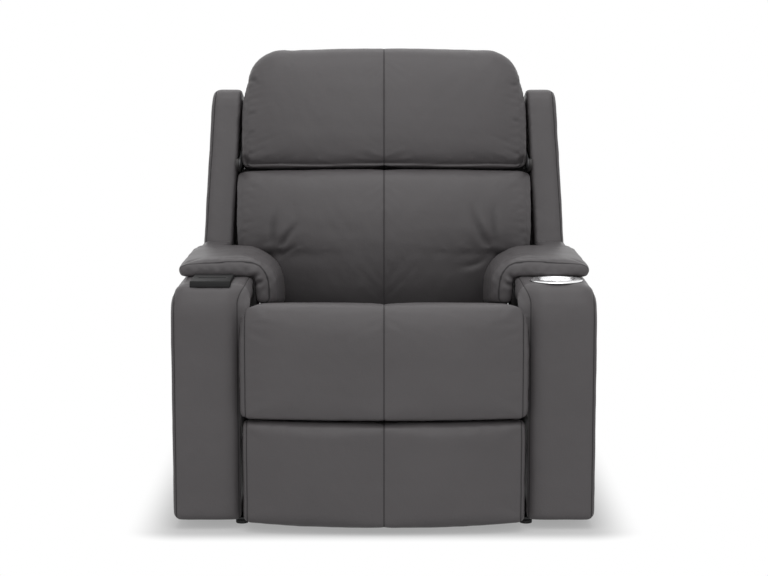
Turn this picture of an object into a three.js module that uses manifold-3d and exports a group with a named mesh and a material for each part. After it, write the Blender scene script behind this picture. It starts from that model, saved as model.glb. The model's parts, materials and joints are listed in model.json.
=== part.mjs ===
// A powered cinema recliner seat: two upholstered arms with pillow pads, a chrome cup holder and a black
// dock, a waterfall seat cushion, a folding footrest, and a winged back with a tilting headrest.
// Millimetres, +Z up, the sitter faces -Y. The origin is on the floor under the middle of the seat.
import * as THREE from "three";
import { mergeVertices } from "three/addons/utils/BufferGeometryUtils.js";
import Module from "manifold-3d";

const wasm = await Module();
wasm.setup();

const radians = THREE.MathUtils.degToRad;

// Fits and fineness

const gap = 0.3; // between touching pieces
const runningGap = 0.35; // round a pin that turns
const layerGap = 0.5; // between plates that turn side by side
const softGap = 1.2; // between a pad or cover and the hard piece beside it
const overrun = 4; // how far a cutter runs past what it cuts
const mergeDistance = 0.001;
const roundSegments = 20;
const fineSegments = 40;

// Arms

const arm = {
  innerX: 316,
  width: 150,
  frontY: -420,
  length: 720,
  bottomZ: 19,
  height: 526,
  frontRoundDepth: 35,
  frontRoundInset: 104,
  frontRoundBottom: 6,
  frontRoundSide: 5,
  rearRound: 30,
  outerTopAcross: 40,
  outerTopDown: 52,
  rollReach: 24,
  rollDrop: 20,
  rollRise: 12,
  innerTopRound: 18,
  bottomRound: 16,
};
const armRoundPower = 2.5; // how square the rounding at the arm's front is
const armDepthShares = [0, 0.06, 0.18, 0.4, 0.7, 1];
const armOuterX = arm.innerX + arm.width;
const armTopZ = arm.bottomZ + arm.height;
const armRearY = arm.frontY + arm.length;
const armRollX = arm.innerX - arm.rollReach;

const armFrame = {
  innerPadding: 15,
  outerPadding: 35,
  frontPadding: 30,
  rearPadding: 34,
  topPadding: 44,
  board: 9,
  bottomInset: 8,
};
const armFrameInnerX = arm.innerX + armFrame.innerPadding;
const armFrameOuterX = armOuterX - armFrame.outerPadding;
const armFrameTopZ = armTopZ - armFrame.topPadding;

// Arm pads

const pad = {
  frontY: -278,
  outerInset: 4,
  faceHeight: 30,
  crownHeight: 54,
  rearCrownHeight: 30,
  overhang: 77,
  crownReach: 112,
  crownDropShare: 0.8,
  bolsterWidth: 52,
  seatGap: 3,
  innerRearY: 62,
  rearClearance: 8,
  frontRound: 34,
  frontInnerInset: 74,
  frontTopInset: 4,
  rearRound: 14,
};
const padOuterX = armOuterX - pad.outerInset;
const padInnerX = arm.innerX - pad.overhang;

// Cup holder and dock

const cup = {
  fromArmInner: 65,
  fromArmFront: 81,
  flangeRadius: 59,
  flangeThickness: 4,
  outerRadius: 38.5,
  wall: 1.5,
  depth: 72,
};
const cupCentreX = arm.innerX + cup.fromArmInner;
const cupCentreY = arm.frontY + cup.fromArmFront;

const dock = {
  fromArmInner: 20,
  width: 88,
  fromArmFront: 20,
  sunk: 7,
  proud: 7,
  slotLength: 60,
  slotWidth: 12,
  slotDepth: 3,
};

// Control panel on the outer face of one arm

const panel = {
  frontY: -232,
  length: 104,
  bottomZ: 402,
  height: 44,
  thickness: 12,
  recess: 1.2,
};
const button = {
  count: 4,
  pitch: 24,
  firstFromFront: 7,
  width: 18,
  height: 26,
  thickness: 6,
  proud: 1.2,
  travel: 1.5,
};

// Base: floor rails with an outward flange, cross tubes and feet

const base = {
  railFromArm: 20,
  railThickness: 16,
  flangeUnderArm: 16,
  flangeThickness: 5,
  railHeight: 38,
  frontY: -376,
  rearY: 232,
  tubeRadius: 10,
  frontTubeY: -104,
  rearTubeY: 190,
};
const foot = { radius: 14, height: 12, neckRadius: 9, neckHeight: 4, fromRailEnd: 22 };
const railInnerX = arm.innerX - base.railFromArm;
const flangeOuterX = arm.innerX + base.flangeUnderArm;
const railBottomZ = foot.height;
const railTopZ = railBottomZ + base.railHeight;

// Chassis that rolls along the rails

const chassis = {
  railClearance: 6,
  plateThickness: 4,
  plateBottomZ: 62,
  plateFrontY: -286,
  plateRearY: 262,
  plateNoseZ: 178,
  tubeRadius: 12,
  frontTubeY: -92,
  frontTubeZ: 100,
  rearTubeY: 200,
  rearTubeZ: 204,
  mountRadius: 10,
  mountY: [-240, 60],
  mountZ: 210,
};
const plateOuterX = railInnerX - chassis.railClearance;
const plateInnerX = plateOuterX - chassis.plateThickness;
const glide = { frontY: -240, length: 330, height: 18 };

// Seat frame and cushion

const seatFrame = {
  deckZ: 330,
  railHeight: 40,
  sideThickness: 28,
  frontRailInset: 18,
  frontRailThickness: 24,
  frontRailHeight: 64,
  rearRailThickness: 25,
  webbing: 3,
};
const sideRailInnerX = plateOuterX - seatFrame.sideThickness;
const frontRailHalf = plateOuterX - seatFrame.frontRailInset;
const seat = {
  sideGap: 10,
  frontSideGap: 0.5,
  crownZ: 505,
  slope: radians(9),
  rearY: 18,
  faceY: -447,
  bow: 30,
  dropThickness: 42,
  dropBottomZ: 253,
  crownRoundDepth: 70,
  crownRoundDrop: 92,
  bottomRound: 14,
  rearRound: 22,
  endRound: 22,
  cornerHeight: 130,
  cornerPower: 8,
  cornerFade: 120,
};
const seatHalf = arm.innerX - seat.sideGap;
const seatFrontHalf = arm.innerX - seat.frontSideGap;
const seatShares = [0.94, 0.8, 0.55, 0.3];
const webbingTopZ = seatFrame.deckZ + seatFrame.webbing;

// Footrest linkage, as distances forward of the origin and heights

const link = {
  width: 26,
  thickness: 6,
  pinRadius: 6,
  tubeRadius: 9,
  tubeReach: 30,
  tubeTurn: radians(-55),
  shaftForward: 260,
  shaftZ: 150,
  crankLength: 100,
  crankStowed: radians(200),
  middleLength: 170,
  upperLength: 170,
};
const board = {
  thickness: 14,
  sideInset: 19,
  bottomZ: 26,
  height: 206,
  pivotZ: 175,
  pivotStandoff: 16,
};
const footrest = {
  sideGap: 7,
  bottomZ: 21,
  topZ: 246.5,
  faceY: -446,
  bow: 31,
  bottomBow: 6,
  edgeRound: 14,
  endRound: 16,
};
const footrestHalf = arm.innerX - footrest.sideGap;
const footrestShares = [0.9, 0.7, 0.45, 0.2];
const boardBackY = seat.faceY + seat.dropThickness + seatFrame.frontRailThickness;

// Back, in its own frame: the origin is the recline pivot, the frame leans back with the back

const back = {
  pivotY: 226,
  pivotZ: 275,
  lean: radians(12),
  wingFront: -127,
  wingRear: 117,
  wingTop: 666,
  wingWidth: 73,
  wingFromArm: 58,
  wingLeanX: 20,
  wingRound: 18,
  wingTopRound: 46,
  wingInnerShare: 0.25,
  wingClearance: 9,
  panelThickness: 12,
  panelInset: 2,
  panelBottom: -150,
  panelClearance: 3,
  boardFront: -60,
  boardThickness: 15,
  boardBottom: 16,
  boardTop: 470,
  boardClearance: 1,
  topCoverThickness: 16,
  topCoverDrop: 16,
};
const wingInnerX = arm.innerX + back.wingFromArm;
const panelHalf = plateInnerX - back.panelClearance;
const backBoardHalf = plateInnerX - back.boardClearance;
const bracket = { thickness: 5, hubRadius: 32, hubEnd: radians(387), width: 34, top: 300, pinRadius: 9 };
const lumbar = {
  bottom: 62,
  top: 452,
  wingGap: 14,
  armGap: 26,
  edge: -176,
  crown: 36,
  frontTopRound: 34,
  frontBottomRound: 42,
  backRound: 8,
  endRound: 30,
};
const lumbarHalf = wingInnerX - lumbar.wingGap;
const lumbarLowerHalf = arm.innerX - lumbar.armGap;
const lumbarShares = [0.85, 0.6, 0.3];

// Headrest, in the frame of the back

const headrest = {
  bottom: 457,
  top: 762,
  wingGap: 23,
  edge: -186,
  crown: 34,
  topThickness: 82,
  cornerHeight: 215,
  cornerPower: 6,
  topTaper: 8,
  topRound: 50,
  bottomRound: 24,
  endRound: 30,
  endTopInset: 10,
  pivotBack: 10,
  pivotUp: 10,
  boardBottom: 490,
  boardTop: 648,
  boardInset: 51,
  boardThickness: 14,
};
const headrestHalf = wingInnerX - headrest.wingGap;
const headBoardHalf = headrestHalf - headrest.boardInset;
const headrestShares = [0.95, 0.86, 0.65, 0.35];
const headHinge = { thickness: 4, halfHeight: 12, pinRadius: 6, tailRise: 60 };

// Drives, controls and inlet

const drive = {
  railWidth: 34,
  railHeight: 16,
  railFront: -196,
  railZ: 196,
  gearLength: 78,
  gearWidth: 62,
  gearHeight: 56,
  motorRadius: 21,
  motorLength: 92,
  nutWidth: 40,
  nutLength: 44,
  nutHeight: 26,
  footrestX: -70,
  reclineX: 110,
  footrestNutY: 20,
  reclineNutY: -130,
};
const controlBox = { width: 110, length: 76, height: 34, centreX: -190 };
const inlet = { width: 34, depth: 22, height: 24, socketRadius: 5, socketDepth: 14, centreX: -120 };

// Seams

const seam = { halfWidth: 3, depth: 2.2 };
const cornerEnd = 0.995; // how far across a rounded corner is followed

// Solids and booleans

// A geometry with only positions, its shared corners merged.
function bare(geometry) {
  const plain = geometry.clone();
  plain.deleteAttribute("normal");
  plain.deleteAttribute("uv");
  return mergeVertices(plain, mergeDistance);
}

function solidOf(geometry) {
  const merged = bare(geometry);
  return new wasm.Manifold(
    new wasm.Mesh({
      numProp: 3,
      vertProperties: merged.attributes.position.array,
      triVerts: new Uint32Array(merged.index.array),
    }),
  );
}

function geometryOf(solid) {
  const mesh = solid.getMesh();
  const geometry = new THREE.BufferGeometry();
  geometry.setAttribute("position", new THREE.BufferAttribute(new Float32Array(mesh.vertProperties), 3));
  geometry.setIndex(new THREE.BufferAttribute(new Uint32Array(mesh.triVerts), 1));
  return geometry;
}

function joined(first, ...others) {
  const sum = others.reduce((solid, other) => solid.add(solidOf(other)), solidOf(first));
  return geometryOf(sum);
}

function cut(first, ...cutters) {
  const rest = cutters.reduce((solid, cutter) => solid.subtract(solidOf(cutter)), solidOf(first));
  return geometryOf(rest);
}

// The same piece on the other side of the seat.
function mirrored(geometry) {
  const twin = bare(geometry).scale(-1, 1, 1);
  const corners = twin.index.array;
  for (let i = 0; i < corners.length; i += 3) {
    [corners[i + 1], corners[i + 2]] = [corners[i + 2], corners[i + 1]];
  }
  return twin;
}

// Plain bodies

function block([x0, x1], [y0, y1], [z0, z1]) {
  const box = new THREE.BoxGeometry(x1 - x0, y1 - y0, z1 - z0);
  return box.translate((x0 + x1) / 2, (y0 + y1) / 2, (z0 + z1) / 2);
}

// A round bar along X from x0 to x1, at y and z.
function barX([x0, x1], y, z, radius, segments = roundSegments) {
  const bar = new THREE.CylinderGeometry(radius, radius, x1 - x0, segments);
  return bar.rotateZ(Math.PI / 2).translate((x0 + x1) / 2, y, z);
}

// A round bar along Y from y0 to y1, at x and z.
function barY([y0, y1], x, z, radius, segments = roundSegments) {
  const bar = new THREE.CylinderGeometry(radius, radius, y1 - y0, segments);
  return bar.translate(x, (y0 + y1) / 2, z);
}

// A round bar along Z from z0 to z1, at x and y.
function barZ([z0, z1], x, y, radius, segments = roundSegments) {
  const bar = new THREE.CylinderGeometry(radius, radius, z1 - z0, segments);
  return bar.rotateX(Math.PI / 2).translate(x, y, (z0 + z1) / 2);
}

// A plate whose outline is given in y and z, from x0 to x1.
function plateX(shape, [x0, x1]) {
  const plate = new THREE.ExtrudeGeometry(shape, {
    depth: x1 - x0,
    bevelEnabled: false,
    curveSegments: roundSegments,
  });
  const turn = new THREE.Matrix4().makeBasis(
    new THREE.Vector3(0, 1, 0),
    new THREE.Vector3(0, 0, 1),
    new THREE.Vector3(1, 0, 0),
  );
  return plate.applyMatrix4(turn).translate(x0, 0, 0);
}

// A plate whose outline is given in x and z, from y0 to y1.
function plateY(shape, [y0, y1]) {
  const plate = new THREE.ExtrudeGeometry(shape, {
    depth: y1 - y0,
    bevelEnabled: false,
    curveSegments: roundSegments,
  });
  const turn = new THREE.Matrix4().makeBasis(
    new THREE.Vector3(1, 0, 0),
    new THREE.Vector3(0, 0, 1),
    new THREE.Vector3(0, -1, 0),
  );
  return plate.applyMatrix4(turn).translate(0, y1, 0);
}

function polygon(points) {
  return new THREE.Shape(points.map(([a, b]) => new THREE.Vector2(a, b)));
}

// Soft bodies, lofted from closed loops

// A closed loop round the corners. A corner gives its place, how far its rounding reaches back and
// forward along its two sides, its steps, and how many points divide the side that follows it.
function roundedLoop(corners) {
  const count = corners.length;
  const starts = [];
  const ends = [];
  corners.forEach((corner, i) => {
    const here = new THREE.Vector2(...corner.at);
    const before = new THREE.Vector2(...corners[(i + count - 1) % count].at);
    const after = new THREE.Vector2(...corners[(i + 1) % count].at);
    const [back = 0, ahead = back] = corner.round ?? [];
    starts.push(here.clone().add(before.sub(here).setLength(back)));
    ends.push(here.clone().add(after.sub(here).setLength(ahead)));
  });
  const loop = [];
  corners.forEach((corner, i) => {
    const here = new THREE.Vector2(...corner.at);
    if (corner.round) {
      loop.push(...new THREE.QuadraticBezierCurve(starts[i], here, ends[i]).getPoints(corner.steps ?? 4));
    } else {
      loop.push(here);
    }
    const next = starts[(i + 1) % count];
    for (let k = 1; k <= (corner.split ?? 0); k += 1) {
      loop.push(ends[i].clone().lerp(next, k / (corner.split + 1)));
    }
  });
  return loop;
}

// One coordinate drawn towards the hub by nearly the inset, and never past it.
function drawnIn(distance, inset) {
  const reach = Math.abs(distance);
  return reach === 0 ? 0 : (distance * reach) / (reach + inset);
}

// A loop drawn in towards its hub: insets for its low and high side along each of its two axes.
function drawnLoop(loop, hub, share, insets) {
  return loop.map((point) => {
    const a = point.x - hub[0];
    const b = point.y - hub[1];
    const insetA = (a < 0 ? insets.lowA : insets.highA) * share;
    const insetB = (b < 0 ? insets.lowB : insets.highB) * share;
    return new THREE.Vector2(hub[0] + drawnIn(a, insetA), hub[1] + drawnIn(b, insetB));
  });
}

// A closed body through loops of equally many points, each end closed by a fan round its own hub.
function loft(loops, firstHub, lastHub) {
  const count = loops[0].length;
  const points = [...loops.flat(), firstHub, lastHub];
  const corners = [];
  for (let row = 0; row + 1 < loops.length; row += 1) {
    for (let i = 0; i < count; i += 1) {
      const j = (i + 1) % count;
      const low = row * count;
      const high = low + count;
      corners.push(low + i, low + j, high + j, low + i, high + j, high + i);
    }
  }
  const last = (loops.length - 1) * count;
  for (let i = 0; i < count; i += 1) {
    const j = (i + 1) % count;
    corners.push(j, i, points.length - 2);
    corners.push(last + i, last + j, points.length - 1);
  }
  const geometry = new THREE.BufferGeometry().setFromPoints(points);
  geometry.setIndex(corners);
  if (solidOf(geometry).volume() < 0) {
    for (let i = 0; i < corners.length; i += 3) {
      [corners[i + 1], corners[i + 2]] = [corners[i + 2], corners[i + 1]];
    }
    geometry.setIndex(corners);
  }
  return geometry;
}

// Where the loops of a body stand between its two rounded ends. Each stop has its distance from the
// nearer end, the share of the end's draw-in, and the share of the half width for the inner ones.
function endStops(radius, steps) {
  const stops = [];
  for (let k = 0; k < steps; k += 1) {
    const angle = (k / steps) * (Math.PI / 2);
    stops.push({ fromEnd: radius * (1 - Math.cos(angle)), drawShare: 1 - Math.sin(angle) });
  }
  stops.push({ fromEnd: radius, drawShare: 0 });
  return stops;
}

// A cushion lofted across the seat from a loop in y and z, with rounded ends and a seam in the middle.
// halfWidthAt gives the half width at a point of the loop. shiftAt moves a point by crown and bow, from
// its place across, -1 to 1, and its place in the loop.
function cushion({ loop, hub, endRound, insets, halfWidthAt, shiftAt, endSteps = 4, innerShares }) {
  const rings = [];
  const ring = (placeAcross, drawShare, sink) =>
    drawnLoop(loop, hub, drawShare, insets).map((point, i) => {
      const half = halfWidthAt(loop[i]);
      const x = placeAcross(half);
      const moved = shiftAt(point, x / half, loop[i]);
      const sunk = sink ? drawnLoop([moved], hub, 1, evenInsets(sink))[0] : moved;
      return new THREE.Vector3(x, sunk.x, sunk.y);
    });
  const stops = endStops(endRound, endSteps);
  stops.forEach((stop) => rings.push(ring((half) => stop.fromEnd - half, stop.drawShare, 0)));
  innerShares.forEach((share) => rings.push(ring((half) => -share * (half - endRound), 0, 0)));
  rings.push(ring(() => -seam.halfWidth, 0, 0));
  rings.push(ring(() => 0, 0, seam.depth));
  rings.push(ring(() => seam.halfWidth, 0, 0));
  [...innerShares].reverse().forEach((share) => rings.push(ring((half) => share * (half - endRound), 0, 0)));
  [...stops].reverse().forEach((stop) => rings.push(ring((half) => half - stop.fromEnd, stop.drawShare, 0)));
  const half = halfWidthAt(new THREE.Vector2(...hub));
  const first = new THREE.Vector3(-half, hub[0], hub[1]);
  const last = new THREE.Vector3(half, hub[0], hub[1]);
  return loft(rings, first, last);
}

function evenInsets(size) {
  return { lowA: size, highA: size, lowB: size, highB: size };
}

function bulge(placeAcross) {
  return 1 - placeAcross * placeAcross;
}

// How far a rounded outline has dropped at a place across, -1 to 1, below the middle of its top.
function cornerDropAt(placeAcross, { cornerHeight, cornerPower }) {
  const reach = Math.min(Math.abs(placeAcross), cornerEnd);
  return cornerHeight * (1 - (1 - reach ** cornerPower) ** (1 / cornerPower));
}

// Materials

function material(colour, roughness, metalness = 0) {
  return new THREE.MeshStandardMaterial({ color: colour, roughness, metalness, flatShading: true });
}

const leather = material(0x545253, 0.55);
const plywood = material(0xb99566, 0.8);
const blackSteel = material(0x1d1d1f, 0.45, 0.7);
const zincSteel = material(0x9a9da0, 0.35, 0.9);
const chrome = material(0xd8dadc, 0.08, 1);
const blackPlastic = material(0x141415, 0.5);
const buttonPlastic = material(0x2a2a2c, 0.4);
const rubber = material(0x101010, 0.8);
const webbing = material(0x2f2d2b, 0.95);

// Assembly

const recliner = new THREE.Group();
const backGroup = new THREE.Group();
backGroup.position.set(0, back.pivotY, back.pivotZ);
backGroup.rotation.x = -back.lean;
recliner.add(backGroup);

function place(group, name, geometry, finish) {
  const shown = bare(geometry);
  shown.computeVertexNormals();
  const mesh = new THREE.Mesh(shown, finish);
  mesh.name = name;
  group.add(mesh);
}

// A piece for the +X side and its twin for the -X side.
function placePair(group, name, geometry, finish) {
  place(group, `${name}_right`, geometry, finish);
  place(group, `${name}_left`, mirrored(geometry), finish);
}

// Heights in the frame of the back at which a world height is reached, at a depth y of that frame.
function backHeightAt(worldZ, y) {
  return (worldZ - back.pivotZ + y * Math.sin(back.lean)) / Math.cos(back.lean);
}

// Base

function baseRail() {
  const web = block(
    [railInnerX, railInnerX + base.railThickness],
    [base.frontY, base.rearY],
    [railBottomZ, railTopZ],
  );
  const flange = block(
    [railInnerX, flangeOuterX],
    [base.frontY, base.rearY],
    [railBottomZ, railBottomZ + base.flangeThickness],
  );
  return joined(web, flange);
}

function footAt(y) {
  const x = flangeOuterX - foot.radius;
  const profile = [
    [0, 0],
    [foot.radius, 0],
    [foot.radius, foot.height - foot.neckHeight],
    [foot.neckRadius, foot.height - foot.neckHeight],
    [foot.neckRadius, foot.height - gap],
    [0, foot.height - gap],
  ].map(([r, z]) => new THREE.Vector2(r, z));
  const lathe = new THREE.LatheGeometry(profile, roundSegments);
  return lathe.rotateX(Math.PI / 2).translate(x, y, 0);
}

function addBase() {
  placePair(recliner, "base_rail", baseRail(), blackSteel);
  placePair(recliner, "foot_front", footAt(base.frontY + foot.fromRailEnd), rubber);
  placePair(recliner, "foot_rear", footAt(base.rearY - foot.fromRailEnd), rubber);
  const span = [gap - railInnerX, railInnerX - gap];
  const tubeZ = railBottomZ + base.flangeThickness + base.tubeRadius;
  place(recliner, "base_tube_front", barX(span, base.frontTubeY, tubeZ, base.tubeRadius), blackSteel);
  place(recliner, "base_tube_rear", barX(span, base.rearTubeY, tubeZ, base.tubeRadius), blackSteel);
  place(recliner, "power_inlet", powerInlet(tubeZ), blackPlastic);
}

function powerInlet(tubeZ) {
  const frontY = base.rearTubeY + base.tubeRadius + gap;
  const x = [inlet.centreX - inlet.width / 2, inlet.centreX + inlet.width / 2];
  const body = block(x, [frontY, frontY + inlet.depth], [tubeZ - inlet.height / 2, tubeZ + inlet.height / 2]);
  const rearY = frontY + inlet.depth;
  const socket = barY([rearY - inlet.socketDepth, rearY + overrun], inlet.centreX, tubeZ, inlet.socketRadius);
  return cut(body, socket);
}

// Chassis

function sidePlate() {
  const topZ = seatFrame.deckZ - seatFrame.railHeight - gap;
  const outline = polygon([
    [chassis.plateFrontY, chassis.plateNoseZ],
    [chassis.plateFrontY, link.shaftZ - link.width],
    [chassis.plateFrontY + link.width, chassis.plateBottomZ],
    [chassis.plateRearY - link.width, chassis.plateBottomZ],
    [chassis.plateRearY, chassis.plateBottomZ + link.width],
    [chassis.plateRearY, back.pivotZ + bracket.hubRadius],
    [seat.rearY + seatFrame.rearRailThickness, back.pivotZ + bracket.hubRadius],
    [seat.rearY, topZ],
    [chassis.plateFrontY + link.width, topZ],
  ]);
  const x = [plateInnerX, plateOuterX];
  const through = [plateInnerX - overrun, plateOuterX + overrun];
  const shaftHole = barX(through, -link.shaftForward, link.shaftZ, link.pinRadius + runningGap);
  const pivotHole = barX(through, back.pivotY, back.pivotZ, bracket.pinRadius + runningGap);
  const mounts = chassis.mountY.map((y) =>
    barX([plateOuterX, armFrameInnerX - gap], y, chassis.mountZ, chassis.mountRadius),
  );
  return cut(joined(plateX(outline, x), ...mounts), shaftHole, pivotHole);
}

function addChassis() {
  placePair(recliner, "side_plate", sidePlate(), blackSteel);
  const shoe = block(
    [plateOuterX + gap, railInnerX + base.railThickness],
    [glide.frontY, glide.frontY + glide.length],
    [railTopZ + gap, railTopZ + gap + glide.height],
  );
  placePair(recliner, "glide_shoe", shoe, blackPlastic);
  const span = [gap - plateInnerX, plateInnerX - gap];
  const front = barX(span, chassis.frontTubeY, chassis.frontTubeZ, chassis.tubeRadius);
  const rear = barX(span, chassis.rearTubeY, chassis.rearTubeZ, chassis.tubeRadius);
  place(recliner, "chassis_tube_front", front, blackSteel);
  place(recliner, "chassis_tube_rear", rear, blackSteel);
}

// Seat frame

function addSeatFrame() {
  const dropBackY = seat.faceY + seat.dropThickness;
  const frontRail = block(
    [-frontRailHalf, frontRailHalf],
    [dropBackY + gap, dropBackY + gap + seatFrame.frontRailThickness - gap],
    [seatFrame.deckZ - seatFrame.frontRailHeight, seatFrame.deckZ],
  );
  const sideRail = block(
    [sideRailInnerX, plateOuterX],
    [dropBackY + seatFrame.frontRailThickness + gap, seat.rearY],
    [seatFrame.deckZ - seatFrame.railHeight, seatFrame.deckZ],
  );
  const rearRail = block(
    [gap - sideRailInnerX, sideRailInnerX - gap],
    [seat.rearY - seatFrame.rearRailThickness, seat.rearY],
    [seatFrame.deckZ - seatFrame.railHeight, seatFrame.deckZ],
  );
  const deck = block(
    [-plateOuterX, plateOuterX],
    [dropBackY + gap, seat.rearY],
    [seatFrame.deckZ + gap, webbingTopZ],
  );
  place(recliner, "seat_rail_front", frontRail, plywood);
  placePair(recliner, "seat_rail_side", sideRail, plywood);
  place(recliner, "seat_rail_rear", rearRail, plywood);
  place(recliner, "seat_webbing", deck, webbing);
}

// Seat cushion

// Height of the seat's top surface at a depth y, falling back from the front of the arms.
function seatTopAt(y) {
  return seat.crownZ - (y - arm.frontY) * Math.tan(seat.slope);
}

// The seat's front corners are well rounded, and the rounding fades between the arms.
function seatCornerDrop(point, across) {
  const behind = THREE.MathUtils.clamp((point.x - arm.frontY) / seat.cornerFade, 0, 1);
  const high = THREE.MathUtils.clamp((point.y - seat.crownZ + seat.cornerHeight) / seat.cornerHeight, 0, 1);
  return cornerDropAt(across, seat) * (1 - behind) * high;
}

function seatCushion() {
  const dropBackY = seat.faceY + seat.dropThickness;
  const underZ = webbingTopZ + gap;
  const loop = roundedLoop([
    { at: [seat.rearY, underZ] },
    { at: [seat.rearY, seatTopAt(seat.rearY)], round: [seat.rearRound], steps: 3, split: 3 },
    { at: [arm.frontY + gap, seatTopAt(arm.frontY)] },
    { at: [arm.frontY - arm.bottomRound / 2, seatTopAt(arm.frontY)] },
    {
      at: [seat.faceY, seat.crownZ],
      round: [seat.crownRoundDepth / 4, seat.crownRoundDrop],
      steps: 6,
      split: 2,
    },
    { at: [seat.faceY, seat.dropBottomZ], round: [seat.bottomRound], steps: 3 },
    { at: [dropBackY, seat.dropBottomZ] },
    { at: [dropBackY, underZ] },
  ]);
  const hub = [(seat.faceY + dropBackY) / 2, (underZ + seat.crownZ) / 2];
  return cushion({
    loop,
    hub,
    endRound: seat.endRound,
    endSteps: 4,
    insets: { lowA: seat.endRound, highA: 0, lowB: seat.bottomRound, highB: seat.endRound },
    innerShares: seatShares,
    halfWidthAt: (point) => (point.x < arm.frontY ? seatFrontHalf : seatHalf),
    shiftAt: (point, across) => {
      const ahead = THREE.MathUtils.clamp((dropBackY - point.x) / seat.dropThickness, 0, 1);
      const drop = seatCornerDrop(point, across);
      return new THREE.Vector2(point.x - seat.bow * bulge(across) * ahead, point.y - drop);
    },
  });
}

// Footrest cushion

function footrestCushion() {
  const backY = boardBackY - board.thickness - gap;
  const loop = roundedLoop([
    { at: [backY, footrest.bottomZ] },
    { at: [backY, footrest.topZ], round: [footrest.edgeRound / 2], steps: 2, split: 1 },
    { at: [footrest.faceY, footrest.topZ], round: [footrest.edgeRound], steps: 4, split: 4 },
    { at: [footrest.faceY, footrest.bottomZ], round: [footrest.edgeRound], steps: 4, split: 1 },
  ]);
  const hub = [(backY + footrest.faceY) / 2, (footrest.bottomZ + footrest.topZ) / 2];
  return cushion({
    loop,
    hub,
    endRound: footrest.endRound,
    insets: { lowA: footrest.endRound, highA: 0, lowB: footrest.endRound / 2, highB: footrest.endRound / 2 },
    innerShares: footrestShares,
    halfWidthAt: () => footrestHalf,
    shiftAt: (point, across) => {
      const ahead = THREE.MathUtils.clamp((backY - point.x) / (backY - footrest.faceY), 0, 1);
      const low = THREE.MathUtils.clamp((hub[1] - point.y) / (hub[1] - footrest.bottomZ), 0, 1);
      return new THREE.Vector2(
        point.x - footrest.bow * bulge(across) * ahead,
        point.y - footrest.bottomBow * bulge(across) * low,
      );
    },
  });
}

// Footrest linkage

// The place of a link pivot, as distance forward and height, from a start, a length and an angle.
function pivotFrom([forward, z], length, angle) {
  return [forward + length * Math.cos(angle), z + length * Math.sin(angle)];
}

// The angle of the first of two links from a start to an end, with its knee above the line.
function raisedLinkAngle([f0, z0], [f1, z1], firstLength, secondLength) {
  const span = Math.hypot(f1 - f0, z1 - z0);
  const cosine = (firstLength ** 2 + span ** 2 - secondLength ** 2) / (2 * firstLength * span);
  return Math.atan2(z1 - z0, f1 - f0) + Math.acos(cosine);
}

const shaftPivot = [link.shaftForward, link.shaftZ];
const crankPivot = pivotFrom(shaftPivot, link.crankLength, link.crankStowed);
const boardPivot = [-boardBackY - board.pivotStandoff, board.pivotZ];
const middleAngle = raisedLinkAngle(crankPivot, boardPivot, link.middleLength, link.upperLength);
const kneePivot = pivotFrom(crankPivot, link.middleLength, middleAngle);

// The four plates that stand side by side inside each side plate, from the outside in.
function layerX(number) {
  const outer = plateInnerX - layerGap - number * (link.thickness + layerGap);
  return [outer - link.thickness, outer];
}

// A bar with round ends between two pivots, with a hole for the pin of the next bar at its start.
function linkBar(start, end, x) {
  const radius = link.width / 2;
  const angle = Math.atan2(end[1] - start[1], end[0] - start[0]);
  const length = Math.hypot(end[0] - start[0], end[1] - start[1]);
  const outline = new THREE.Shape();
  outline.absarc(0, 0, radius, Math.PI / 2, (3 * Math.PI) / 2);
  outline.absarc(length, 0, radius, -Math.PI / 2, Math.PI / 2);
  const bar = new THREE.ExtrudeGeometry(outline, {
    depth: x[1] - x[0],
    bevelEnabled: false,
    curveSegments: roundSegments / 2,
  });
  bar.rotateZ(angle);
  const turn = new THREE.Matrix4().makeBasis(
    new THREE.Vector3(0, -1, 0),
    new THREE.Vector3(0, 0, 1),
    new THREE.Vector3(-1, 0, 0),
  );
  return bar.applyMatrix4(turn).translate(x[1], -start[0], start[1]);
}

// A pin that reaches from inside its own bar through the bar outside it.
function linkPin(pivot, number) {
  const x = [layerX(number)[1] - link.thickness / 2, layerX(number - 1)[1]];
  return barX(x, -pivot[0], pivot[1], link.pinRadius);
}

function pinHole(pivot, number) {
  const x = layerX(number);
  return barX([x[0] - overrun, x[1] + overrun], -pivot[0], pivot[1], link.pinRadius + runningGap);
}

// The crank arms turn on stubs in the side plates. The tube that joins them stands beyond the pins of the
// middle links, so that those links can cross the line of the stubs.
function crankShaft() {
  const tubePlace = pivotFrom(crankPivot, link.tubeReach, link.crankStowed + link.tubeTurn);
  const end = layerX(0)[0] + link.thickness / 2;
  const tube = barX([-end, end], -tubePlace[0], tubePlace[1], link.tubeRadius);
  const arms = joined(
    linkBar(shaftPivot, crankPivot, layerX(0)),
    linkBar(crankPivot, tubePlace, layerX(0)),
  );
  const stub = barX([end, plateOuterX], -link.shaftForward, link.shaftZ, link.pinRadius);
  const side = joined(cut(arms, pinHole(crankPivot, 0)), stub);
  return joined(tube, side, mirrored(side));
}

function middleLink() {
  const bar = cut(linkBar(crankPivot, kneePivot, layerX(1)), pinHole(kneePivot, 1));
  return joined(bar, linkPin(crankPivot, 1));
}

function upperLink() {
  const bar = cut(linkBar(kneePivot, boardPivot, layerX(2)), pinHole(boardPivot, 2));
  return joined(bar, linkPin(kneePivot, 2));
}

function footrestBracket() {
  const x = layerX(3);
  const [forward, z] = boardPivot;
  const radius = link.width / 2;
  const outline = new THREE.Shape();
  outline.moveTo(boardBackY + gap, z - link.width);
  outline.lineTo(boardBackY + gap, z + link.width);
  outline.lineTo(-forward, z + radius);
  outline.absarc(-forward, z, radius, Math.PI / 2, -Math.PI / 2, true);
  return joined(plateX(outline, x), linkPin(boardPivot, 3));
}

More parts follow.
